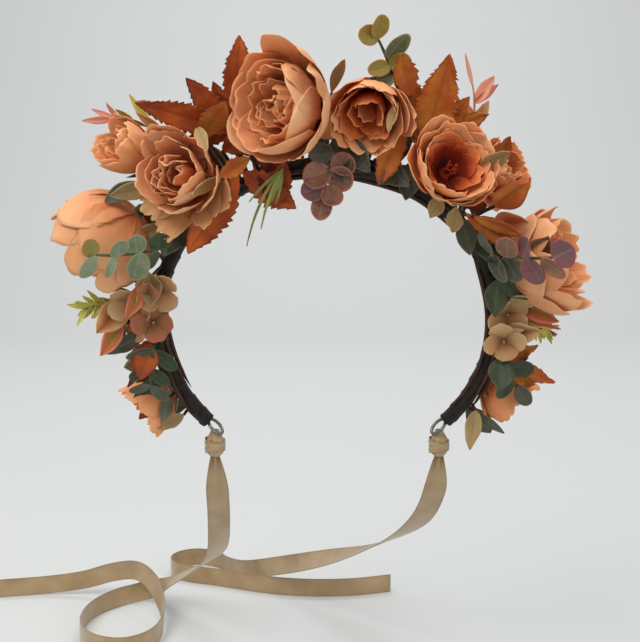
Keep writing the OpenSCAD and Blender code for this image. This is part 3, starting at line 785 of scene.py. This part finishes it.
def lobed_leaf(sheets, rng, row, lobes, material):
    """A maple leaf of toothed lobes joined at its foot; lobes are (angle, length, width)."""
    rotation, origin = leaf_place(row)
    for i, (angle, length, width) in enumerate(lobes):
        m = turn_about("z", -angle) @ turn_about("x", rng.uniform(-6, 8))
        built = blade(rng, length, width, teeth=max(5, int(length / 3.2)), depth=0.26, fold=14,
                      bend=10 + rng.uniform(-12, 12), widest=0.42, cols=13,
                      rows=max(30, int(1.7 * length)), wave=1.0)
        put(sheets, built, (rotation @ m, origin + 0.35 * i * rotation[:, 2]), material,
            tone=rng.uniform(0.5, 1))


def on_twig(rng, place, path, at, angle, pitch, roll):
    """The place of a leaf that leaves its twig at a share of its length and at an angle."""
    t = np.linspace(0, 1, len(path))
    foot = np.array([np.interp(at, t, path[:, k]) for k in range(3)])
    m = (turn_about("z", -angle) @ turn_about("x", rng.uniform(*pitch))
         @ turn_about("y", rng.uniform(-roll, roll)))
    return place[0] @ m, placed(foot, place)


def sprig_leaves(sheets, rng, row, length, leaves, sway):
    """Round leaves along a swaying twig; each is (at, side angle, radius, stretch, material)."""
    place = leaf_place(row)
    t = np.linspace(0, 1, 11)
    path = np.stack([sway * np.sin(2.6 * t + 0.3) * t, length * t, 1.5 * np.sin(3 * t)], axis=-1)
    sheets.tube(placed(path, place), np.interp(t, [0, 1], [0.85, 0.5]), GREEN_WIRE, sides=7)
    for at, angle, radius, stretch, material in leaves:
        where = on_twig(rng, place, path, at, angle, (-4, 26), 30)
        put(sheets, round_leaf(rng, radius * rng.uniform(0.94, 1.06), stretch), where, material,
            closed=True, tone=rng.uniform(0.35, 1))


def spray(sheets, rng, row, length, blades, twig, thick):
    """Narrow blades along a twig; each is (at, side angle, length, width, material)."""
    place = leaf_place(row)
    t = np.linspace(0, 1, 9)
    path = np.stack([2 * np.sin(2.2 * t), length * t, np.sin(3 * t)], axis=-1)
    sheets.tube(placed(path, place), np.interp(t, [0, 1], [thick, 0.6 * thick]), twig, sides=6)
    for at, angle, blade_length, width, material in blades:
        where = on_twig(rng, place, path, at, angle, (-12, 24), 40)
        put(sheets, blade(rng, blade_length, width, fold=22, bend=rng.uniform(-14, 40), cols=7,
                          rows=14, wave=0.25), where, material, tone=rng.uniform(0.4, 1))


def needles(rng, count, reach, width, spread):
    return [(0.3 + 0.68 * i / count, (1 if i % 2 else -1) * spread * rng.uniform(0.5, 1.2),
             reach * rng.uniform(0.7, 1.2), width, LIME) for i in range(count)]


def build_leaves():
    rng = np.random.default_rng(7)

    def leaf(name, draw, stalk=BROWN_WIRE, radius=0.8):
        s = Sheets()
        draw(s, LEAVES[name])
        petiole(s, LEAVES[name], stalk, radius)
        s.make_for(name, name + "_cloth", IN_PLACE, LEAF_T)

    def single(name, material, *size, **more):
        leaf(name, lambda s, row: put(s, blade(rng, *size, **more), leaf_place(row), material))

    def lobed(name, material, lobes):
        leaf(name, lambda s, row: lobed_leaf(s, rng, row, lobes, material))

    def sprig(name, length, sway, leaves):
        leaf(name, lambda s, row: sprig_leaves(s, rng, row, length, leaves, sway), GREEN_WIRE)

    def narrow(name, length, blades, twig=PINK_WIRE, thick=0.55):
        leaf(name, lambda s, row: spray(s, rng, row, length, blades, twig, thick), twig, 0.7)

    lobed("maple_leaf_right", GOLD,
          [(52, 34, 13), (-56, 27, 11), (30, 32, 13), (-27, 39, 15), (2, 49, 19)])
    lobed("maple_leaf_left", RUST, [(52, 26, 10), (-34, 24, 10), (33, 34, 12), (0, 48, 14)])
    single("maple_leaf_upright", RUST, 36, 14, teeth=12, depth=0.3, fold=16, bend=-10, rows=52)
    single("rust_leaf_temple", RUST, 46, 19, teeth=12, depth=0.22, fold=10, bend=26, rows=56)
    single("rust_leaf_centre", RUST, 32, 15, teeth=9, depth=0.3, fold=18, bend=26, rows=44)
    single("curled_leaf_right", GOLD, 26, 14, fold=34, bend=34, curl=0.2)
    single("maple_leaf_left_low", RUST, 25, 13, teeth=8, depth=0.25, fold=16, bend=20, rows=36)
    lobed("maple_leaf_right_low", GOLD, [(-46, 22, 8), (40, 20, 8), (0, 31, 10)])

    sprig("eucalyptus_top", 27, 1.0, [
        (0.20, 70, 4.6, 1.3, GREY), (0.26, -80, 4.4, 1.2, GREY), (0.44, 84, 4.6, 1.25, YELLOW),
        (0.46, -74, 4.2, 1.5, YELLOW), (0.62, 62, 4.8, 1.6, GREY), (0.97, -34, 5.0, 1.25, YELLOW),
        (1.0, 30, 4.8, 1.3, YELLOW)])
    sprig("eucalyptus_centre", 22, 2.0, [
        (0.04, 74, 5.6, 1.1, SLATE), (0.10, -62, 6.0, 1.1, MAUVE), (0.40, 52, 6.2, 1.1, MAUVE),
        (0.44, -74, 6.2, 1.08, MAUVE), (0.78, 62, 5.8, 1.1, PLUM), (0.80, -50, 5.4, 1.1, MAUVE),
        (1.0, 4, 5.0, 1.2, MAUVE)])
    sprig("eucalyptus_left", 46, -3.0, [
        (0.12, 70, 5.2, 1.1, DARK), (0.16, -66, 5.0, 1.15, DARK), (0.36, -78, 6.2, 1.08, GREY),
        (0.40, 66, 4.8, 1.15, GREY), (0.64, 70, 5.0, 1.15, GREY), (0.66, -58, 2.6, 2.4, GREY),
        (0.92, 52, 4.2, 1.7, YELLOW), (0.90, -62, 4.4, 1.35, GREY)])
    sprig("eucalyptus_left_low", 25, 2.0, [
        (0.02, 74, 3.2, 2.4, SLATE), (0.06, -50, 3.8, 2.1, DARK), (0.46, 66, 3.2, 2.0, DARK),
        (0.50, -52, 3.4, 1.9, DARK), (0.84, 66, 3.0, 2.0, SLATE), (0.90, -48, 3.0, 1.9, SLATE)])
    sprig("eucalyptus_right", 38, 2.0, [
        (0.04, 62, 6.2, 1.3, SLATE), (0.02, -70, 6.0, 1.3, SLATE), (0.26, 80, 6.6, 1.15, SLATE),
        (0.30, -66, 5.8, 1.25, MAUVE), (0.58, 68, 6.4, 1.1, PLUM), (0.56, -60, 5.6, 1.25, PLUM),
        (0.80, 40, 4.4, 1.6, MAUVE), (0.98, -24, 6.6, 1.0, PLUM)])
    sprig("eucalyptus_right_low", 18, 4.0, [
        (0.2, 60, 5.0, 1.3, DARK), (0.3, -70, 5.6, 1.15, DARK), (0.7, 54, 4.2, 1.5, DARK),
        (1.0, -16, 4.4, 1.4, SLATE)])

    narrow("pink_sprig_right", 22, [
        (0.05, -40, 12, 4.5, LIME), (0.08, 40, 15, 5.5, STRAW), (0.20, 20, 13, 5, STRAW),
        (0.26, -24, 10, 3.6, PINK), (0.60, 46, 18, 7, PINK), (0.64, 56, 14, 5, PINK),
        (0.96, -14, 17, 2.2, PINK)])
    narrow("pointed_sprig_left", 30, [
        (0.05, -34, 16, 4, STRAW), (0.10, 32, 17, 4, STRAW), (0.22, -50, 15, 3.6, LIME),
        (0.28, 44, 20, 4, LIME), (0.38, 26, 18, 3, STRAW), (0.46, -22, 14, 3, STRAW),
        (0.56, 34, 13, 3, LIME), (0.80, 52, 13, 3.4, PINK), (0.90, -10, 16, 3.6, PINK),
        (0.84, 6, 14, 2.6, PINK)])
    narrow("needle_sprig_left", 26, needles(rng, 22, 9.5, 2.4, 50), GREEN_WIRE, 0.5)
    narrow("needle_sprig_right", 18, needles(rng, 18, 8.5, 2.0, 52), GREEN_WIRE, 0.5)

    def grass(s, row):
        rotation, origin = leaf_place(row)
        for splay, length, bend, sweep in ((-32, 40, 36, -12), (-4, 22, 10, 4), (-20, 30, 26, -5),
                                           (8, 17, 14, 3), (-44, 22, 8, -3)):
            built = blade(rng, length, 1.1, fold=24, bend=bend, cols=5, rows=18)
            points = built[0]
            points[..., 0] += sweep * (points[..., 1] / length) ** 2
            put(s, built, (rotation @ turn_about("z", splay), origin), GRASS,
                tone=rng.uniform(0.2, 0.9))
    leaf("grass_blades", grass, GREEN_WIRE, 0.7)


# Hydrangea florets, as leaf rows with a radius and a material.
FLORETS = {
    "left_hydrangea": [
        ((-72, 1, 13, 0, 0, 0, -73), 11.5, CREAM),
        ((-79, 13, 10, 20, 12, 0, -79), 12, CREAM),
        # this floret takes the hydrangea tan darkened with painted shade
        ((-84, 1, 13, 40, -10, 0, -85), 11, SHADED_ROSY),
        ((-88, 16, 4, 10, 14, 0, -88), 10.5, FADED),
    ],
    "right_hydrangea": [
        ((82, 5, 11, 0, 0, 0, 80), 11, CREAM),
        ((91, 3, 13, 30, 10, 0, 91), 11.5, CREAM),
    ],
}


def build_florets(rng):
    for name, rows in FLORETS.items():
        s = Sheets()
        for row, r, material in rows:
            rotation, origin = leaf_place(row)
            petiole(s, row, GREEN_WIRE, 0.7)
            for i in range(4):
                built = petal_sheet(rng, r * rng.uniform(0.95, 1.15), r * 0.6, (0.6, 0), 84,
                                    rng.uniform(30, 74), 0.6, 0.8, 0.7, 0.1, rows=11, cols=11)
                m = turn_about("z", 45 + 90 * i + rng.uniform(-12, 12))
                put(s, built, (rotation @ m, origin), material, tone=rng.uniform(0.2, 1))
            s.tube([origin, origin + 1.8 * rotation[:, 2]], [0.9, 0.5], TAN, sides=6)
        s.make_for(name, name + "_cloth", IN_PLACE, FLORET_T)


def build_lily_buds(rng):
    s = Sheets()
    for row, length in (((84, 10, -9, 98, -4, 0, 83), 27), ((89, 11, -8, 110, 4, 0, 88), 25)):
        rotation, origin = leaf_place(row)
        petiole(s, row, GREEN_WIRE, 0.7)
        for spin in (-26, 8, 34):
            put(s, blade(rng, length, 7, fold=30, bend=24, cols=9, rows=18),
                (rotation @ turn_about("z", spin * 0.5) @ turn_about("y", spin * 2), origin),
                CORAL, tone=rng.uniform(0.3, 1))
    s.make_for("lily_buds", "lily_buds_cloth", IN_PLACE, FLORET_T)


def build_side_flowers():
    rng = np.random.default_rng(17)
    build_florets(rng)
    build_lily_buds(rng)


# ---- filling -----------------------------------------------------------------
# Loose leaves that fill the bunches: a leaf row, then length, width, material and teeth.
FILL = {
    "front": [
        (-20, 20, -4, 130, 8, 0, -20, 25, 14, RUST, 7),
        (-28, 20, -2, 60, 4, 10, -28, 26, 14, RUST, 7),
        (-31, 30, -2, 30, 6, 14, -31, 27, 13, GOLD, 8), (4, 26, -6, 40, 0, 0, 5, 24, 12, SLATE, 0),
        (25, 12, 0, 196, 16, 0, 25, 20, 12, SLATE, 0),
        (-40, 14, -2, 210, 4, 0, -40, 24, 13, TAN, 0),
        (-31, 24, 4, 196, 14, 0, -30, 25, 13, GOLD, 8),
        (-26, 33, -8, -40, 4, 0, -25, 17, 8, RED, 6),
        (-12, 7, 8, 196, 16, 10, -11, 22, 12, RUST, 7),
        (-5, 8, 7, 160, 22, -10, -5, 20, 12, RED, 6), (-17, 7, 4, 184, 30, 10, -17, 17, 10, RED, 6),
        (-21, 14, 8, 250, 30, 0, -21, 20, 9, GOLD, 6), (1, 34, -8, 12, 0, 20, 2, 20, 6, TAN, 0),
        (2, 16, 2, 170, 30, 0, 2, 24, 13, SLATE, 0), (6, 16, 4, 140, 34, 20, 5, 20, 12, SLATE, 0),
        (14, 8, 5, 120, 20, 0, 14, 22, 12, SLATE, 0), (18, 32, 6, 204, 14, 0, 19, 34, 12, GOLD, 9),
        (18, 40, -4, -16, 6, 10, 19, 22, 12, GOLD, 6),
        (14.5, 40, 14, 190, 30, 50, 17, 15, 6, TAN, 0),
        (22, 10, 8, 250, 26, 0, 22, 17, 9, SLATE, 0), (36, 6, 10, 214, 30, 10, 36, 12, 8, TAN, 0),
        (41, 7, 12, 196, 34, -10, 41, 14, 9, TAN, 0), (44, 8, 14, 120, 10, 0, 44, 30, 9, GOLD, 8),
        (46, 10, 16, 96, 16, 20, 46, 26, 8, GOLD, 6), (42, 31, 4, 18, 10, 0, 42, 22, 9, GOLD, 7),
        (38, 30, 14, 50, 10, 20, 38, 16, 10, TAN, 0), (54, 14, 4, 70, 24, 0, 54, 20, 14, PALE, 0),
        (52, 7, 6, 150, 30, 0, 52, 22, 12, DARK, 0), (47, 4, 4, 170, 40, 0, 47, 20, 10, SLATE, 0),
        (-46, 29, 10, 262, 6, 0, -46, 21, 9, TAN, 0),
        (-48, 34, 4, 240, 6, 20, -48, 20, 9, SLATE, 0),
        (-29, 14, 20, 262, 34, -10, -30, 22, 6, TAN, 0),
        (-29, 38, 8, 150, 40, -10, -29, 15, 6, TAN, 0),
        (-54, 12, 4, 250, 10, 0, -54, 18, 8, TAN, 0),
        (-50, 6, 8, 214, 24, 0, -50, 18, 10, SLATE, 0),
        (-44, 6, 2, 200, 20, 0, -44, 22, 12, DARK, 0),
    ],
    "left": [
        (-67, 6, 15, 186, 14, 0, -67, 16, 10, TAN, 0),
        (-71, 9, 15, 204, 8, 20, -72, 20, 8, CORAL, 0),
        # the first leaf here takes the hydrangea tan darkened with painted shade
        (-76, 5, 16, 14, 24, 0, -76, 22, 11, SHADED_ROSY, 0), (-74, 1, 14, -8, 16, 10, -74, 19, 9, TAN, 0),
        (-80, 16, 4, 226, 10, 0, -80, 24, 15, FADED, 0),
        (-87, 18, 8, 218, 16, 0, -87, 20, 9, CORAL, 0),
        (-92, 8, 4, 250, 8, 0, -92, 22, 9, SLATE, 0), (-94, 4, 8, 200, 12, 0, -94, 20, 13, RUST, 0),
        (-99, 6, 0, 214, 6, 10, -99, 24, 5, RED, 0),
        (-110, 6, -2, 240, 10, 0, -110, 20, 9, DARK, 0),
        (-116, 6, 4, 200, 20, 10, -116, 14, 7, SLATE, 0),
        (-124, 6, 4, 250, 10, 0, -124, 18, 8, TAN, 0),
        (-66, 10, -8, 262, -10, 0, -66, 28, 14, SLATE, 0),
    ],
    "right": [
        (66, 6, 10, 130, 20, 0, 66, 22, 13, DARK, 0), (69, 4, 12, 190, 20, 0, 69, 20, 12, DARK, 0),
        (66, 20, 14, 20, 24, 0, 66, 22, 16, MAUVE, 0), (77, 6, 14, 60, 24, 20, 77, 18, 11, TAN, 0),
        (80, 10, 8, 100, 20, 0, 80, 24, 9, CORAL, 0), (86, 12, 6, 82, 14, 30, 86, 22, 6, CORAL, 0),
        (84, 14, 4, 70, 20, -30, 84, 17, 8, PINK, 0), (89, 4, 10, 70, 20, 0, 89, 20, 13, CREAM, 0),
        (97, 4, 10, 190, 30, 0, 97, 20, 14, DARK, 0), (99, 8, 2, 150, 12, 0, 99, 20, 11, GOLD, 6),
        (108, 8, 0, 90, 10, 0, 108, 22, 9, GOLD, 7), (121, 6, 6, 190, 14, 0, 121, 22, 9, TAN, 0),
        (123, 8, 2, 120, 10, 0, 123, 20, 5, SLATE, 0),
        (68, 10, -8, 82, -10, 0, 68, 28, 14, SLATE, 0),
    ],
}


def build_fill():
    """Filling leaves, and a fringe of dark ones behind the blooms for the back and sides."""
    rng = np.random.default_rng(29)
    bodies = {"front": "crown_band", "left": "left_arm", "right": "right_arm"}
    spans = {"front": (-57, 57, 15), "left": (-129, -64, 9), "right": (64, 129, 9)}
    for part, rows in FILL.items():
        s = Sheets()
        low, high, count = spans[part]
        behind = []
        for i in range(count):
            turn = low + (high - low) * (i + 0.5) / count + rng.uniform(-2, 2)
            behind.append((turn, rng.uniform(4, 9), rng.uniform(-12, -6),
                           turn + rng.uniform(-45, 45), rng.uniform(-30, 4),
                           rng.uniform(-20, 20), turn, rng.uniform(17, 27), rng.uniform(8, 13),
                           str(rng.choice([DARK, SLATE, RUST, TAN])), 0))
        for *row, length, width, material, teeth in rows + behind:
            put(s, blade(rng, length, width, teeth=teeth, depth=0.28, fold=rng.uniform(8, 26),
                         bend=rng.uniform(8, 40), rows=30 if teeth else 18,
                         widest=rng.uniform(0.4, 0.55)),
                leaf_place(row), material, tone=rng.uniform(0.35, 1))
            petiole(s, row, BROWN_WIRE, 0.7)
        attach(s.make("filling_" + part, IN_PLACE, LEAF_T), bodies[part])


# ---- band ------------------------------------------------------------------
def tape_rings(low, high):
    """The taped bundle: overlapping spiral turns of crepe tape over uneven stems."""
    lump = waves(np.random.default_rng(5), 5, 0.1, 0.6)
    t = np.linspace(low, high, int((high - low) * 3) + 1)[:, None]
    a = np.linspace(0, 2 * math.pi, 20, endpoint=False)[None, :]
    spiral = sawtooth(t / 6.5 + a / (2 * math.pi))
    r = TAPE_R * (0.93 + 0.12 * spiral ** 3 + 0.06 * lump(t + 1.3 * np.cos(a))
                  + 0.06 * np.cos(2 * a + 0.05 * t))
    return spot(t, r * np.cos(a), r * np.sin(a))


def strand(rng, low, high, way, radius):
    """The line of one stem lying along the band on its way side, in degrees round the tape."""
    turns = np.linspace(low, high, max(6, int((high - low) / 2)))
    wander = waves(rng, 3, 0.05, 0.16)
    a = np.radians(way + 26 * wander(turns))
    r = TAPE_R + 0.5 * radius + 0.5 * wander(turns + 40)
    return spot(turns, r * np.cos(a), r * np.sin(a))


def follow_band(piece, side):
    """Puts a piece that rides the middle of the band on the band's body; an arm's piece is baked in
    place.
    """
    if side == 0:
        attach(piece, "crown_band")
    else:
        spot(side * (FLEX_TURN - 5), 0, 0) * MM
        spot(side * (FLEX_TURN + 5), 0, 0) * MM
        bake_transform(piece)


def build_band():
    edge = FLEX_TURN - 6
    spans = {"tape_front": (-edge, edge, 0), "tape_left": (-REACH, -edge + 0.05, -1),
             "tape_right": (edge - 0.05, REACH, 1)}
    for name, (low, high, side) in spans.items():
        s = Sheets()
        s.grid(tape_rings(low, high), "floral_tape", closed=True, capped=True, tone=1.0)
        piece = s.make(name + "_wrap")
        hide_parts(name)
        follow_band(piece, side)
        rng = np.random.default_rng(60 + side)
        s = Sheets()
        start, stop = low + 3, high - 3
        for way in (20, 75, 150, 215, 300):
            a = rng.uniform(start, start + 0.3 * (stop - start))
            b = rng.uniform(stop - 0.3 * (stop - start), stop)
            radius = rng.uniform(0.8, 1.3)
            line = strand(rng, a, b, way, radius)
            t = np.linspace(0, 1, len(line))
            taper = np.minimum(1, 6 * np.minimum(t + 0.02, 1.02 - t))
            s.tube(line, radius * taper, BROWN_WIRE)
        follow_band(s.make(name + "_strands"), side)
    for node in ("wire_front", "wire_left", "wire_right", "eyelet_left", "eyelet_right"):
        frame["nodes"][node].data.materials.clear()
        frame["nodes"][node].data.materials.append(MATERIALS["wire"])


# ---- ties ------------------------------------------------------------------
def run_lengths(middle):
    return np.concatenate([[0], np.cumsum(np.linalg.norm(np.diff(middle, axis=0), axis=1))])


def ribbon_strip(sheets, middle, width_way, width, pleat):
    """A thin closed strip with corded edges; pleat from 0 to 1 folds it into a narrow gather."""
    along = unit(np.gradient(middle, axis=0))
    width_way = np.broadcast_to(width_way, along.shape)
    width_way = unit(width_way - np.sum(width_way * along, axis=1, keepdims=True) * along)
    normal = np.cross(along, width_way)
    half = np.array([0.15, 0.3, 0.45, 0.6, 0.75, 0.9, 0.96, 1])
    u = np.concatenate([-half[::-1], [0], half])
    thick = np.where(np.abs(np.abs(u) - 0.96) < 0.01, 0.28, 0.14)
    loop_u = np.concatenate([u, u[::-1]])
    loop_n = np.concatenate([thick, -thick[::-1]])
    pleat = np.asarray(pleat)[:, None]
    lift = 0.35 * (1 - loop_u ** 2)[None, :] + pleat * 1.5 * np.cos(2 * math.pi * loop_u)[None, :]
    across = 0.5 * width * (1 - 0.62 * pleat) * loop_u[None, :]
    rings = (middle[:, None, :] + across[..., None] * width_way[:, None, :]
             + (loop_n[None, :] + lift)[..., None] * normal[:, None, :])
    sheets.grid(rings, "satin_ribbon", closed=True, capped=True, edge=np.abs(loop_u)[None, :],
                along=run_lengths(middle)[:, None] * MM, tone=1.0)


def build_knot(name, side):
    """A gathered bulb with two wrapped turns, under a loop through the eyelet."""
    folds = waves(np.random.default_rng(200 + side), 4, 2, 7)
    knot = Sheets()
    heights = np.linspace(0, 1, 22)[:, None]
    a = np.linspace(0, 2 * math.pi, 40, endpoint=False)[None, :]
    bulb = np.interp(heights, [0, 0.12, 0.35, 0.6, 0.8, 1], [2.6, 4.2, 5.2, 4.8, 3.2, 2.0])
    r = bulb * (1 + 0.09 * np.cos(7 * a + 2 * folds(2 * heights)) + 0.05 * folds(3 * heights + a))
    foot = np.array(KNOT_AT) * (side, 1, 1)
    points = np.stack([r * np.cos(a), 0.85 * r * np.sin(a), 15 * heights * np.ones_like(a)],
                      axis=-1)
    knot.grid(points + foot, "satin_ribbon", closed=True, edge=0.5, tone=1.0)
    t = np.linspace(0, 2 * math.pi, 33)
    for lift, tilt in ((4.6, 1.4), (7.4, -1.2)):
        turn = np.stack([5.3 * np.cos(t), 4.6 * np.sin(t), lift + tilt * np.cos(t + 1)], axis=-1)
        ribbon_strip(knot, turn + foot, (0, 0, 1), 4.6, np.full(len(t), 0.1))
    # up the front of the eyelet's lower bar, over it, and down behind it
    t = np.radians(np.linspace(-150, 150, 25))
    loop = np.stack([0 * t, 2 * np.sin(t), 1.7 * np.cos(t) + 3.2 * np.minimum(0, 1.6 - np.abs(t))],
                    axis=-1)
    bar = spot(side * EYELET_TURN, 0, 0) - (0, 0, 5)
    ribbon_strip(knot, loop + bar, (1, 0, 0), 6.0, np.full(len(t), 0.35))
    knot.make_for(name, name + "_satin")


def build_tie(name, route, side):
    """A satin ribbon along its route, gathered where it leaves its knot."""
    middle = smooth_path([row[:3] for row in route], 8)
    width_way = smooth_path([row[3:] for row in route], 8)
    length = run_lengths(middle)
    s = Sheets()
    ribbon_strip(s, middle, width_way, RIBBON_W, np.clip(1 - length / 26, 0, 1) ** 1.5)
    piece = s.make(name + "_ribbon")
    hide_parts(name)
    top, low = np.array(route[0][:3]) * MM, np.array(route[5][:3]) * MM
    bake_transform(piece)
    tuple(top)
    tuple(low)
    tuple(top)
    build_knot(name.replace("tie", "tie_knot"), side)


# ---- camera, light, floor ----------------------------------------------------
def build_camera():
    data = bpy.data.cameras.new("camera")
    camera = add_object("camera", data)
    distance, elevation = 0.560, math.radians(6)
    camera.location = (0, -distance * math.cos(elevation), distance * math.sin(elevation))
    camera.rotation_euler = (math.radians(90) - elevation, 0, 0)
    data.sensor_width, data.lens = 36, 59.8
    data.shift_x, data.shift_y = -0.0109375, 0.0078125
    data.clip_start = 0.01
    scene.camera = camera


def build_floor():
    """A paper sweep: flat under everything, rising well behind, clear of a camera at the back."""
    half_width, front, bend_at, bend_r, top = 2.4, -2.4, 1.8, 1.2, 3.4
    profile = [(front, 0.0), (bend_at, 0.0)]
    profile += [(bend_at + bend_r * math.sin(a), bend_r - bend_r * math.cos(a))
                for a in np.radians(np.arange(6, 91, 6))]
    profile += [(bend_at + bend_r, top)]
    points = [(x, y, TABLE_Z - 0.0005 + z) for y, z in profile for x in (-half_width, half_width)]
    faces = [(2 * i, 2 * i + 1, 2 * i + 3, 2 * i + 2) for i in range(len(profile) - 1)]
    mesh = bpy.data.meshes.new("floor")
    mesh.from_pydata(points, [], faces)
    mesh.polygons.foreach_set("use_smooth", [True] * len(faces))
    mesh.materials.append(Shader("floor", 1.0, specular=0.05).colour((0.575, 0.585, 0.58, 1)))
    add_object("floor", mesh)


def lamp(name, where, target, size, power, colour=(1, 1, 1)):
    """A square lamp that faces target."""
    light = bpy.data.lights.new(name, "AREA")
    light.energy, light.size, light.color = power, size, colour
    lamp_object = add_object(name, light)
    lamp_object.location = where
    x, y, z = np.array(target) - np.array(where)
    lamp_object.rotation_euler = (math.atan2(math.hypot(x, y), -z), 0,
                                  math.atan2(y, x) - math.pi / 2)


def build_studio():
    build_camera()
    build_floor()
    lamp("key", (-0.55, -0.75, 1.0), (0, 0, 0), 0.8, 13, (1.0, 0.98, 0.95))
    lamp("fill", (1.0, -0.9, 0.3), (0, 0, 0), 1.0, 4)
    lamp("top", (0.0, -0.1, 1.5), (0, 0.1, 0), 1.0, 7)
    lamp("backdrop", (0.0, 1.3, 2.0), (0, 3.0, 0.2), 1.8, 32)
    world = bpy.data.worlds.new("world")
    world.use_nodes = True
    sky = world.node_tree.nodes["Background"].inputs
    sky["Color"].default_value = (0.97, 0.99, 1.0, 1)
    sky["Strength"].default_value = 0.55
    scene.world = world
    scene.view_settings.view_transform = "Standard"


build_studio()
build_tie("tie_left", TIE_LEFT, -1)
build_tie("tie_right", TIE_RIGHT, 1)
build_band()
build_blooms()
build_leaves()
build_side_flowers()
build_fill()
